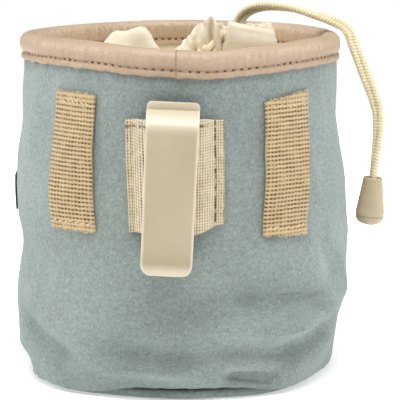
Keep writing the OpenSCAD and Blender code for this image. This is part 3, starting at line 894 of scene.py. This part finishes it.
def make_sleeve():
    """The sleeve: down behind the binding, in over the pouch, and up into the gathered hem."""
    angle = np.linspace(-180, 180, 860, endpoint=False)
    edge = on_skin(turned(angle + 90), BINDING_Z + 1.4, -3.0)
    edge_z = edge[:, 2].mean()
    run = np.array([(0, edge_z)] + SLEEVE_RUN)
    mouth_line = hem_line(angle)
    pleat = pleats(angle)
    turn = np.radians(angle)
    outer_folds = np.sin(turn * 13 + 1.6 * np.sin(turn * 2 + 0.7))
    rows, painted_shades = [], []
    for s in np.linspace(0, 1, 56):
        inward = smooth(s, 0.1, 1.0) * 0.9 + 0.1 * max(0.0, (s - 0.1) / 0.9)
        flat = edge[:, :2] * (1 - inward) + mouth_line * inward
        sunk = (mouth_level(angle) - HEM_MIDDLE) * smooth(s, 0.6, 1.0)
        z = float(through(np.array(s), *run.T)) + sunk + (edge[:, 2] - edge_z) * (1 - smooth(s, 0, 0.2))
        middle = smooth(s, 0.12, 0.4) * (1 - smooth(s, 0.82, 1.0))
        for x0, y0, rise, wide, deep in BILLOWS:
            z += middle * rise * hump(flat[:, 0], x0, wide) * hump(flat[:, 1], y0, deep)
        depth = (1 - smooth(s, 0.8, 1.0)) * smooth(s, 0.08, 0.75)
        z += depth * (1.5 * pleat * smooth(s, 0.35, 0.8) + 1.4 * outer_folds * (1 - smooth(s, 0.4, 0.9)))
        z += 1.1 * middle * waves(np.column_stack([flat, z]), 8, 61)
        out = flat - MOUTH_CENTRE
        out /= np.linalg.norm(out, axis=1)[:, None]
        flat = flat + out * (pleat * 1.3 * smooth(s, 0.75, 1.0) * (1 - calm(angle)))[:, None]
        side = 0.9 * middle * waves(np.column_stack([flat, z]), 14, 62)
        flat = flat + np.column_stack([-out[:, 1], out[:, 0]]) * side[:, None]
        rows.append(np.column_stack([flat, z]))
        # Painted shade in the pleats' valleys.
        painted_shades.append(0.5 * smooth(-pleat, 0.2, 1.0) * smooth(s, 0.3, 0.9))
    upper = np.stack(rows)
    along = (np.roll(upper, -1, 1) - np.roll(upper, 1, 1)) / 2
    normal = np.cross(np.gradient(upper, axis=0), along)
    normal /= np.linalg.norm(normal, axis=2)[..., None] + 1e-9
    under = upper - normal * SLEEVE_T
    shape = Shape().rings(np.concatenate([upper, under[::-1]]), groove=painted_shades + painted_shades[::-1])
    return shape.piece("sleeve_cloth", "closure_nylon", [NYLON], "closure_sleeve")


# ---------------------------------------------------------------- drawstring, knot and bell

STRAND_D = 2.2
TAIL_D = 4.2
# The strands turn once round each other over this length, starting from this angle in radians.
TWIST = 150
TWIST_FROM = 0.2
# Length of one turn of the braid's yarns, and the spacing of the rope's rings.
BRAID = 1.1
ROPE_STEP = 0.24
# The drawstring's route from the hem over the rim to the bell.
ROUTE = [
    (19.5, 12.3, 117.0), (20.0, 12.0, 119.6), (21.5, 11.2, 122.0), (24.2, 10.0, 123.8), (27.8, 8.4, 124.8),
    (32.0, 6.6, 125.0), (36.4, 4.8, 124.6), (40.8, 3.2, 123.8), (45.0, 1.8, 122.6), (49.0, 0.8, 121.4),
    (52.6, 0.2, 120.0), (55.4, 0.0, 118.6), (57.2, 0.0, 116.4), (58.4, 0.0, 113.2), (59.8, 0.0, 109.8),
    (61.3, 0.0, 106.0), (63.0, 0.0, 101.6), (64.8, 0.0, 97.2), (66.4, 0.0, 92.6), (67.3, 0.0, 88.0),
    (67.3, 0.0, 83.0), (66.9, 0.0, 77.0), (66.2, 0.0, 70.6), (65.8, 0.0, 66.6), (65.5, 0.0, 63.4),
]


def lengths_along(path):
    """How far along a path each of its points lies."""
    return np.concatenate([[0], np.cumsum(np.linalg.norm(np.diff(path, axis=0), axis=1))])


def add_braid(shape, path, radius, place=None, sides=18, closed=False):
    """Adds a round braid along a path, whose corners rise over the yarns; place may move the path first."""
    angle = np.linspace(0, 2 * np.pi, sides, endpoint=False)
    yarn = np.sin(angle + 2 * np.pi * lengths_along(path)[:, None] / BRAID)
    height = smooth(yarn, -1.0, 0.6)
    points, faces = tube(place(path) if place else path, radius * (0.9 + 0.12 * height), sides, closed)
    # Painted shade between the yarns, stored on the mesh.
    return shape.add(points, faces, groove=1 - height)


def make_rope():
    """The two strands of the drawstring's tail, twisted slowly round each other."""
    far = lengths_along(ROUTE)
    path = through(np.linspace(0, far[-1], int(round(far[-1] / ROPE_STEP)) + 1), far, ROUTE)
    _, a, b = frames_along(path)
    along = np.linspace(0, len(path) * ROPE_STEP, len(path))
    apart = (TAIL_D - STRAND_D) / 2 * 0.98
    shape = Shape()
    for half in (0, np.pi):
        angle = (2 * np.pi * along / TWIST + half + TWIST_FROM)[:, None]
        add_braid(shape, path + apart * (a * np.cos(angle) + b * np.sin(angle)), STRAND_D / 2)
    return shape.piece("drawstring_rope", "cord", [ROPE], "drawstring_tail"), path


def make_drawstring():
    """The drawstring inside the hem; it shows where the smooth stretch of the hem begins."""
    angle = np.linspace(-180, 180, 240, endpoint=False)
    line = hem_line(angle)
    shows = hump(turned(angle), -109, 5)
    out = line - MOUTH_CENTRE
    line = line + out / np.linalg.norm(out, axis=1)[:, None] * (3.0 * shows)[:, None]
    z = mouth_level(angle) - 3.0 * shows + 2.6 * hump(turned(angle), -91, 3.5)
    shape = add_braid(Shape(), np.column_stack([line, z]), STRAND_D / 2, closed=True)
    return shape.piece("drawstring_ring", "cord", [ROPE], "drawstring_loop")


BELL_TOP = np.array([65.8, 0, 66.8])
BELL_LEAN = 4.5
BELL_NECK = 2.6
BELL_SIDES = 56
KNOT_D = 5.4


def in_bell(points):
    """Points given with the bell's upper end at the origin, brought to where the bell hangs."""
    turn = np.array(Matrix.Rotation(math.radians(BELL_LEAN), 3, "Y"))
    return np.asarray(points, float) @ turn.T + BELL_TOP


def turned_rings(profile):
    """Rings round the bell's axis from an outline of (radius, height, painted shade), and their painted
    shade.
    """
    angle = np.linspace(0, 2 * np.pi, BELL_SIDES, endpoint=False)
    r, z, groove = np.array(profile, float).T[:, :, None]
    rows = np.stack([r * np.cos(angle), r * np.sin(angle), z + 0 * angle], -1)
    return in_bell(rows), np.repeat(groove, BELL_SIDES)


def make_bell():
    """The bell's open body, without its cap."""
    outside = [(1.95, -0.1), (2.15, 0.0), (2.9, 0.0), (3.2, -0.12), (3.36, -0.4), (3.42, -0.9)]
    outside += [(3.42 + 1.42 * t**1.05, -0.9 - 10.4 * t) for t in np.linspace(0, 1, 14)[1:]]
    outside += [(4.9, -11.9), (4.9, -12.5), (4.84, -13.1), (4.74, -13.45), (4.62, -13.55)]
    inside = [(3.0, -13.55), (2.95, -8), (2.95, -BELL_NECK - 0.4), (2.3, -BELL_NECK), (2.18, -1.5)]
    # Painted shade at the lower lip, where the cap meets the bell, and all over the inside.
    profile = [(r, z, 0.4 if z < -13.4 else 0.0) for r, z in outside]
    rows, groove = turned_rings(profile + [(r, z, 0.6) for r, z in inside])
    return Shape().rings(rows, groove=groove).piece("bell_body", "bell_plastic", [BELL], "cord_end_bell")


def make_bell_cap():
    """The rounded cap that closes the bell's wide end."""
    # Painted shade on the cap's face against the bell and at its edge.
    outline = [(0.01, -13.56, 0.4), (4.6, -13.56, 0.4), (4.72, -13.62, 0.2)]
    for a in np.linspace(0, math.pi / 2, 12):
        outline.append((4.74 * math.cos(a) ** 0.8 + 0.01, -13.85 - 2.75 * math.sin(a) ** 1.1, 0.0))
    rows, groove = turned_rings(outline)
    faces = grid(len(outline), BELL_SIDES, False, True)
    faces += [list(range(BELL_SIDES)), [rows.size // 3 - 1 - i for i in range(BELL_SIDES)]]
    return Shape().add(rows, faces, groove=groove).piece("bell_cap", "bell_plastic", [BELL], "cord_end_cap")


def make_knot():
    """An overhand knot inside the bell."""
    t = np.linspace(0, 2 * np.pi, 90, endpoint=False)
    size = KNOT_D / 2 - STRAND_D / 2 - 0.1
    knot = np.column_stack([
        size * (np.sin(t) + 2 * np.sin(2 * t)) / 2.6,
        size * (np.cos(t) - 2 * np.cos(2 * t)) / 2.6,
        -size * 0.8 * np.sin(3 * t) - BELL_NECK - 0.6 - KNOT_D / 2,
    ])
    shape = add_braid(Shape(), knot, STRAND_D / 2 * 0.95, in_bell, 12, closed=True)
    return shape.piece("stopper_knot", "cord", [ROPE], "cord_knot")


# ---------------------------------------------------------------- webbing

WEBBING_T = 1.5
# Pitch of each weave along the webbing and across it, and its relief.
LOOP_WEAVE = (1.36, 1.5)
LOOP_RELIEF = 0.55
BAND_COARSE_WEAVE = (1.35, 1.02)
BAND_FINE_WEAVE = (0.95, 0.95)
BAND_RELIEF = 0.38


def weave(along, across, rib, column):
    """How deep a place on the webbing lies between its yarns, from 0 on a crest to 1 in a gap."""
    # The same depth gives the weave's relief and its painted shade.
    row = along / rib
    groove = 1 - smooth(np.abs((row % 1) - 0.5), 0.0, 0.34)
    dash = smooth(np.cos(2 * np.pi * across / column), -0.45, 0.5)
    return groove * (0.25 + 0.75 * dash)


def webbing(shape, surface, depth, relief, thickness, edge):
    """Closed webbing from its middle surface (stations x places across) and the weave's depths."""
    stations, places = surface.shape[:2]
    normal = np.cross(np.gradient(surface, axis=0), np.gradient(surface, axis=1))
    normal /= np.linalg.norm(normal, axis=2)[..., None]
    from_edge = np.minimum(np.arange(places), np.arange(places)[::-1]) * edge
    half = thickness / 2 * np.sqrt(np.clip(1 - (1 - np.clip(from_edge / 0.7, 0, 1)) ** 2, 0.04, 1))
    top = surface + normal * (half - relief * depth)[..., None]
    bottom = surface - normal * half[:, None]
    loop = np.concatenate([top, bottom[:, ::-1][:, ::3]], axis=1)
    # The depths are also stored as painted shade, weaker on the underside.
    values = np.concatenate([depth, depth[:, ::-1][:, ::3] * 0.6], axis=1)
    count = loop.shape[1]
    faces = grid(stations, count, False, True)
    faces += [list(range(count)), [stations * count - 1 - i for i in range(count)]]
    return shape.add(loop, faces, groove=values)


LOOP_W = 19
LOOP_PLACES = 84
LOOP_GAP = 0.6
LOOP_TAB = 4.5
LOOP_ARC = math.radians(1) * 58
# Each belt loop: name, middle azimuth at its foot and head, lowest and highest point, slant of its ends,
# and how far it wavers from side to side, in degrees.
LOOPS = [
    ("left", -38.2, -42.0, 56.3, 99.9, 0.0, 0.08),
    ("right", 37.0, 40.6, 54.6, 99.4, 0.05, 0.12),
]


def loop_surface(az_low, az_high, z_low, z_high, slant, wobble):
    """A belt loop's middle surface, sewn down at both tabs, with its heights and distances across."""
    z = np.linspace(z_low, z_high, 200)
    w = np.linspace(-LOOP_W / 2, LOOP_W / 2, LOOP_PLACES)
    z, w = np.meshgrid(z, w, indexing="ij")
    up = (z - z_low) / (z_high - z_low)
    w = w * (1 + 0.13 * up**2)
    az = az_low + (az_high - az_low) * up + np.degrees(w / (BELLY_R + 1.5))
    az = az + wobble * np.sin(up * np.pi * 2.3 + 0.6)
    z = z + slant * w * (up - 0.35) * 3
    low_end = smooth(z, z_low + LOOP_TAB * 0.5, z_low + LOOP_TAB + 12)
    high_end = 1 - smooth(z, z_high - LOOP_TAB - 12, z_high - LOOP_TAB * 0.5)
    return on_skin(az, z, LOOP_GAP * low_end * high_end + 0.15 + WEBBING_T / 2), z, w


def make_loop(side, az_low, az_high, z_low, z_high, slant, wobble):
    surface, z, w = loop_surface(az_low, az_high, z_low, z_high, slant, wobble)
    depth = weave(z + 0.05 * np.sin(w * 1.7), w + 0.1 * np.sin(z * 0.4), *LOOP_WEAVE)
    from_end = np.minimum(z - z_low, z_high - z)
    depth = depth * (1 + 0.3 * waves(surface, 3.2, 71)) * (0.6 + 0.4 * smooth(from_end, 1.2, 3.0))
    edge = LOOP_W / (LOOP_PLACES - 1)
    shape = webbing(Shape(), surface[:, ::-1], depth[:, ::-1].clip(0, 1), LOOP_RELIEF, WEBBING_T, edge)
    return shape.piece("loop_webbing_" + side, "loop_webbing", [TAN_WEBBING], "belt_loop_" + side)


def make_loop_thread():
    """Bar tacks across both ends of each belt loop, and the loose yarns of the cut ends."""
    shape = Shape()
    rng = np.random.default_rng(81)
    ends = []
    for _, az_low, az_high, z_low, z_high, slant, _ in LOOPS:
        ends += [(az_low, z_low, 1, -1.05 * slant), (az_high, z_high, -1, 1.95 * slant)]
    for az, z, inward, tilt in ends:
        way = outwards(az)
        for i in range(7):
            w = -8.0 + i * 2.35 + rng.uniform(-0.3, 0.3)
            a = on_skin(az + w / LOOP_ARC, z + inward * (2.3 + rng.uniform(-0.3, 0.3)), WEBBING_T + 0.1)
            b = on_skin(az + (w + 2) / LOOP_ARC, z + inward * (3.2 + rng.uniform(-0.4, 0.4)), WEBBING_T + 0.1)
            stitch(shape, a, b, way, 0.5, 0.15)
        for w in rng.uniform(-7.5, 7.5, 3):
            spot = on_skin(az + w / LOOP_ARC, z + inward * rng.uniform(2.6, 3.6), WEBBING_T + 0.02)
            hole(shape, spot, way, 0.5)
        for _ in range(26):
            w = rng.uniform(-9.3, 9.3)
            edge = z + tilt * w
            a = on_skin(az + w / LOOP_ARC, edge + inward * 0.5, rng.uniform(0.4, WEBBING_T))
            w += rng.uniform(-1.2, 1.2)
            b = on_skin(az + w / LOOP_ARC, edge - inward * rng.uniform(0.05, 0.6), rng.uniform(0.3, 1.6))
            stitch(shape, a, b, way, rng.uniform(0.25, 0.42), 0.2)
    return shape.piece("loop_thread", "thread", [PALE_THREAD, HOLE_SHADE], "loop_stitching")


BAND_FRONT = -low("clip_band")[1]
BAND_MIDDLE = BAND_FRONT - WEBBING_T / 2
BAND_Z = low("clip_band")[2]
BAND_TOP = high("clip_band")[2]
# The band's way round the front, from left to right: on the cloth, off it behind the clip, and back.
# Each place is an azimuth at the band's foot and at its head.
BAND_LEFT_AZ = [(-16.6, -18.9), (-14.4, -15.9)]
BAND_RIGHT_AZ = [(10.9, 11.2), (14.0, 14.6)]
BAND_FLAT_X = [(-11.6, -12.6), (6.4, 6.6)]
BAND_KNOTS = [0, 3.3, 7.6, 26.9, 32.3, 35.9]
BAND_PLACES = 170
# The band's rows of stitches: azimuth, width of the thread, how far the row leans over the band's height.
BAND_SEAMS = [(-16.7, 0.36, -1.4), (12.75, 0.4, 0)]
BAND_STITCH = 2.35


def band_line(z):
    """The band's middle line in plan at each height, as knots along it."""
    up = (z - BAND_Z) / (BAND_TOP - BAND_Z)

    def sewn(ends):
        return [on_skin(a + (b - a) * up, z, WEBBING_T / 2 + 0.25)[..., :2] for a, b in ends]

    flat = [np.stack([a + (b - a) * up, np.full(z.shape, -BAND_MIDDLE)], -1) for a, b in BAND_FLAT_X]
    return np.array(sewn(BAND_LEFT_AZ) + flat + sewn(BAND_RIGHT_AZ))


def make_band():
    """The wide webbing that the clip holds, coarser at the left, folded over at its head."""
    s = np.linspace(0, BAND_KNOTS[-1], 150)
    v = np.linspace(0, 1, BAND_PLACES)
    foot = BAND_Z + through(s, [0, 5, 20, 25, 29, 32.5, 35.9], [0.6, 0.9, 0.6, 0.8, 1.7, 2.9, 3.5])
    head = BAND_TOP + through(s, [0, 3, 8, 28, 32.3, 35.9], [-0.9, -0.6, 0.2, 0.1, -0.7, -0.9])
    surface = np.zeros((len(s), len(v), 3))
    for i, place in enumerate(s):
        z = foot[i] + (head[i] - foot[i]) * v
        line = band_line(z)
        plan = through(np.array(place), BAND_KNOTS, line.reshape(len(line), -1)).reshape(len(z), 2)
        surface[i] = np.column_stack([plan, z])
    coarse = 1 - smooth(s, 15, 22)[:, None]
    z = surface[..., 2]
    s = s[:, None]
    # Deeper weave on the coarse left part, for both relief and painted shade.
    depth = 1.3 * weave(s, z, *BAND_COARSE_WEAVE) * coarse * (0.8 + 0.4 * smooth(s, 1, 7))
    depth = depth + weave(s, z, *BAND_FINE_WEAVE) * (1 - coarse)
    # The head is folded over, with painted shade under the fold, and the fold parts from the band beside the
    # clip.
    shade_under_fold = hump(z, head[:, None] - 2.3, 0.55) * (0.8 + 0.5 * waves(surface, 2.6, 73))
    shade_under_fold = shade_under_fold * (1 - smooth(s, 27.5, 30))
    # Painted shade along the band's right-hand row of stitches.
    shade_along_seam = hump(s, 32.4, 0.42) * (0.78 + 0.35 * waves(surface, 1.9, 74)) * (z > foot[:, None] + 1.5)
    depth = (depth * (1 + 0.25 * waves(surface, 3, 72))).clip(0, 1)
    depth = np.maximum.reduce([depth, shade_under_fold, 1.15 * shade_along_seam]).clip(0, 1)
    shape = webbing(Shape(), surface, depth, BAND_RELIEF, WEBBING_T, (BAND_TOP - BAND_Z) / (BAND_PLACES - 1))
    return shape.piece("band_webbing", "band_webbing", [PALE_WEBBING], "clip_band")


def make_band_thread():
    """The rows of stitches that hold the band's two ends."""
    shape = Shape()
    out = WEBBING_T + 0.12
    for az, wide, lean in BAND_SEAMS:
        for z in np.arange(BAND_Z + 4.8, BAND_TOP - 2.4, BAND_STITCH):
            at = az + 0.12 * math.sin(z * 1.3) + lean * (z - BAND_Z - 19) / 38
            a, b = on_skin(at, z, out), on_skin(at + 0.35, z + BAND_STITCH * 0.6, out)
            stitch(shape, a, b, outwards(az), wide, 0.14)
    return shape.piece("band_thread", "thread", [PALE_THREAD], "band_stitching")


# ---------------------------------------------------------------- the clip

CLIP_TOP = 100.1
CLIP_LOW = 45.4
CLIP_HALF = 8.55
CLIP_TAPER = 0.25
CLIP_RIM = 0.95
CLIP_BEVEL = 0.8
CLIP_X = -2.2
CLIP_LEAN = 2.6
PLATE_BACK = 57.3
PLATE_FRONT = 59.1
PLATE_LOW = 50.4
BEND_R = 7.0
LEG_T = 2.8
LEG_FRONT = 68.6
BEND_Y = LEG_FRONT - BEND_R
BEND_TOP = 97.6
BEND_Z = BEND_TOP - BEND_R
LIP_Z = 49.8
LIP_FLARE = 1.9
HEAD_R = 1.6
TIP_R = 3.4


def clip_half(z):
    """Half the clip's width at a height, with its rounded corners."""
    head = np.clip(z - (CLIP_TOP - HEAD_R), 0, HEAD_R)
    foot = np.clip((CLIP_LOW + TIP_R) - z, 0, TIP_R)
    taper = CLIP_TAPER * (1 - smooth(z, CLIP_LOW, BEND_TOP))
    head_round = HEAD_R - np.sqrt(np.maximum(HEAD_R**2 - head**2, 0))
    tip_round = TIP_R - np.sqrt(np.maximum(TIP_R**2 - foot**2, 0))
    return CLIP_HALF - taper - head_round - tip_round


def leaned(points):
    """The clip's upright shape, leaned about its upper edge."""
    turn = np.array(Matrix.Rotation(math.radians(CLIP_LEAN), 3, "Y"))
    top = np.array([0, 0, CLIP_TOP])
    return (np.asarray(points, float) - top) @ turn.T + top + [CLIP_X, 0, 0]


def paint_clip_highlights(made):
    """Stores a painted highlight at each point of the clip: on its rims, tab, bend and lip."""
    at = np.array([point.co for point in made.data.vertices]) / MM
    back = np.array(Matrix.Rotation(math.radians(CLIP_LEAN), 3, "Y"))
    top = np.array([CLIP_X, 0, CLIP_TOP])
    x, _, z = ((at - top) @ back).T
    z = z + CLIP_TOP
    rim = 1 - smooth(np.minimum(clip_half(z) - np.abs(x), 0.3 + z - CLIP_LOW), 0.2, 0.85)
    tab = 0.9 * smooth(z, BEND_TOP - 0.6, BEND_TOP + 0.4)
    lip = 0.6 * (1 - smooth(z, CLIP_LOW + 1, LIP_Z - 0.5))
    bend = 0.75 * smooth(z, BEND_Z - 1.0, BEND_Z + 3.5)
    painted_highlight = made.data.attributes.new("painted_highlight", "FLOAT", "POINT")
    painted_highlight.data.foreach_set("value", np.maximum.reduce([rim, tab, lip, bend]))


def make_clip():
    """One moulding: a back plate, a bridge over the band, a rounded bend and the spring leg with its lip."""
    bend = np.radians(np.linspace(0, 90, 15))
    arm_out = [(BEND_Y + BEND_R * math.sin(a), BEND_Z + BEND_R * math.cos(a)) for a in bend]
    inner_r = BEND_R - LEG_T
    arm_in = [(BEND_Y + inner_r * math.sin(a), BEND_Z + inner_r * math.cos(a)) for a in bend]
    for t in np.linspace(0, 1, 9)[1:]:
        z = BEND_Z + (LIP_Z - BEND_Z) * t
        arm_out.append((LEG_FRONT - t, z))
        arm_in.append((LEG_FRONT - LEG_T - 0.4 * t, z))
    for t in np.linspace(0, 1, 11)[1:]:
        z = LIP_Z + (CLIP_LOW - LIP_Z) * math.sin(t * math.pi / 2)
        flare = LIP_FLARE * math.sin(t * math.pi / 2) ** 1.3
        arm_out.append((LEG_FRONT - 1 + flare, z))
        arm_in.append((LEG_FRONT - 3.2 + flare * 1.34, z))
    under_bend = BEND_TOP - LEG_T
    heights = list(np.linspace(PLATE_LOW, under_bend, 9)) + [BEND_TOP]
    heights += [CLIP_TOP - HEAD_R * (1 - math.sin(a)) for a in np.radians(np.linspace(0, 90, 7))]
    pairs = [((PLATE_BACK, z), (PLATE_FRONT, z)) for z in heights]
    points, index = [], {}

    def corner(y, z, side):
        key = (round(y, 4), round(z, 4), side)
        if key not in index:
            index[key] = len(points)
            half = clip_half(z)
            points.append((math.copysign(half if abs(side) == 1 else half - CLIP_RIM, side), -y, z))
        return index[key]

    faces = []

    def band_of(a, b):
        """A face right across the clip between two outline points."""
        for left, right in ((-1, -0.5), (-0.5, 0.5), (0.5, 1)):
            faces.append([corner(*a, left), corner(*a, right), corner(*b, right), corner(*b, left)])

    def cheeks(a, b, c, d):
        """The two side faces between four outline points."""
        for side in (-1, 1):
            ring = [corner(*p, side) for p in (a, b, c, d)]
            faces.append(ring if side > 0 else ring[::-1])

    for (back_a, front_a), (back_b, front_b) in zip(pairs, pairs[1:]):
        band_of(back_a, back_b)
        if front_b[1] != BEND_TOP:  # the bridge starts here, so the plate's front is open
            band_of(front_b, front_a)
        cheeks(back_a, front_a, front_b, back_b)
    band_of(*pairs[0])
    band_of(*pairs[-1])
    arm = list(zip([(PLATE_FRONT, BEND_TOP)] + arm_out, [(PLATE_FRONT, under_bend)] + arm_in))
    for (out_a, in_a), (out_b, in_b) in zip(arm, arm[1:]):
        band_of(out_a, out_b)
        band_of(in_b, in_a)
        cheeks(out_a, in_a, in_b, out_b)
    band_of(*arm[-1])
    shape = Shape().add(leaned(points), faces)
    nodes = ("clip_back_plate", "clip_spring_leg")
    made = shape.piece("spring_clip", "clip_plastic", [PLASTIC], *nodes, body=None)
    edge = made.modifiers.new("edges", "BEVEL")
    edge.width = CLIP_BEVEL * MM
    edge.segments = 4
    edge.limit_method = "ANGLE"
    edge.angle_limit = math.radians(38)
    settle(made)
    paint_clip_highlights(made)
    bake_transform(made)
    return made


def settle(made):
    """Applies a piece's modifiers to its mesh."""
    bpy.context.view_layer.update()
    final = bpy.data.meshes.new_from_object(made.evaluated_get(bpy.context.evaluated_depsgraph_get()))
    made.modifiers.clear()
    made.data = final


# ---------------------------------------------------------------- the label

LABEL_Z = low("side_label")[2]
LABEL_TOP = high("side_label")[2]
LABEL_AZ = (-112, -88)
LABEL_T = 0.7


def make_label():
    """A blank ribbon label in the left-hand side seam."""
    az = np.linspace(*LABEL_AZ, 60)
    z = np.linspace(LABEL_Z, LABEL_TOP, 34)
    lean = 0.25 * np.sin(np.linspace(0, 9, len(az)))
    surface = np.stack([on_skin(az, level, LABEL_T - 0.25 + 0.12 * lean) for level in z], 1)
    shape = webbing(Shape(), surface, np.zeros(surface.shape[:2]), 0.0, 0.5, z[1] - z[0])
    return shape.piece("blank_label", "label", [RIBBON], "side_label")


def make_label_thread():
    """The stitches along the label's upper and lower edges."""
    shape = Shape()
    for z in (LABEL_Z + 1.1, LABEL_TOP - 1.1):
        for az in np.arange(LABEL_AZ[0] + 1.2, LABEL_AZ[1] - 2.5, 2.5):
            a, b = on_skin(az, z, LABEL_T + 0.02), on_skin(az + 1.8, z, LABEL_T + 0.02)
            stitch(shape, a, b, outwards(az + 0.9), 0.4, 0.12)
    return shape.piece("label_thread", "thread", [BLACK_THREAD], "label_stitching")


# ---------------------------------------------------------------- floor and light


FLOOR_HALF = 0.7
GLOW_NEAR = 0.42
GLOW_FAR = 0.95
GLOW_FROM = 0.08
GLOW_TO = 0.35
SIDE_POWER = 3.3
TOP_POWER = 3.4
FRONT_POWER = 4.6
STUDIO_LIGHT = 0.1


def make_floor():
    """A paper sweep that glows, more so further from the pouch, so that only the contact shadow is left."""
    mesh = bpy.data.meshes.new("floor")
    corners = [(-1, -1), (1, -1), (1, 1), (-1, 1)]
    mesh.from_pydata([(x * FLOOR_HALF, y * FLOOR_HALF, 0) for x, y in corners], [], [[0, 1, 2, 3]])
    f = Finish("floor_paper", Roughness=0.8)
    f.colour(f.ramp(f.noise(8), [(0.3, (246, 246, 246)), (0.7, (250, 250, 250))]))
    far = f.node("VectorMath", {0: f.place()}, operation="LENGTH").outputs["Value"]
    glow = f.node("MapRange", {
        "Value": far, "From Min": GLOW_FROM, "From Max": GLOW_TO, "To Min": GLOW_NEAR, "To Max": GLOW_FAR,
    })
    f.shader.inputs["Emission Color"].default_value = (1, 1, 1, 1)
    f.tree.links.new(glow.outputs["Result"], f.shader.inputs["Emission Strength"])
    mesh.materials.append(f.material)
    floor = bpy.data.objects.new("floor", mesh)
    bpy.context.scene.collection.objects.link(floor)


def area_light(name, at, size, power):
    """A soft square light that faces the pouch's middle."""
    data = bpy.data.lights.new(name, "AREA")
    data.shape = "SQUARE"
    data.size = size
    data.energy = power
    light = bpy.data.objects.new(name, data)
    light.location = at
    aim = Vector((0, 0, 0.06)) - light.location
    light.rotation_euler = aim.to_track_quat("-Z", "Y").to_euler()
    bpy.context.scene.collection.objects.link(light)


def make_lights():
    """Soft panels at the sides, overhead and in front, in a white-looking studio that lights only gently."""
    area_light("left_panel", (-0.78, 0.06, 0.46), 0.5, SIDE_POWER)
    area_light("right_panel", (0.78, 0.04, 0.42), 0.5, SIDE_POWER)
    area_light("top_panel", (0.0, -0.12, 0.78), 0.7, TOP_POWER)
    area_light("front_panel", (-0.05, -0.45, 0.85), 0.5, FRONT_POWER)
    world = bpy.data.worlds.new("studio")
    world.use_nodes = True
    tree = world.node_tree
    seen = tree.nodes["Background"]
    seen.inputs["Color"].default_value = (1, 1, 1, 1)
    lit = tree.nodes.new("ShaderNodeBackground")
    lit.inputs["Strength"].default_value = STUDIO_LIGHT
    lit.inputs["Color"].default_value = (1, 1, 1, 1)
    choice = tree.nodes.new("ShaderNodeMixShader")
    tree.links.new(tree.nodes.new("ShaderNodeLightPath").outputs["Is Camera Ray"], choice.inputs["Fac"])
    tree.links.new(lit.outputs[0], choice.inputs[1])
    tree.links.new(seen.outputs[0], choice.inputs[2])
    tree.links.new(choice.outputs[0], tree.nodes["World Output"].inputs["Surface"])
    bpy.context.scene.world = world
    bpy.context.scene.view_settings.view_transform = "Standard"


# ---------------------------------------------------------------- the whole pouch

rope, rope_path = make_rope()
knot = make_knot()
bell = make_bell()
bell_cap = make_bell_cap()
make_wall()
make_base()
layer("lining_cloth", LINING, "lining", "lining_wall", SEAM_Z + 1, CLOTH_TOP, CLOTH_T + 0.02,
      CLOTH_T + LINING_T, 0.5)
make_lining_floor()
layer("stiffening_strip", STIFF, "stiffener", "rim_stiffener", STIFFENER_Z, CLOTH_TOP - 0.1,
      CLOTH_T + LINING_T + 0.05, CLOTH_T + LINING_T + STIFF_T)
make_binding()
make_binding_thread()
sleeve = make_sleeve()
hem = make_hem()
make_drawstring()
for one_loop in LOOPS:
    make_loop(*one_loop)
make_loop_thread()
make_band()
make_band_thread()
make_clip()
make_label()
make_label_thread()
make_floor()
make_lights()
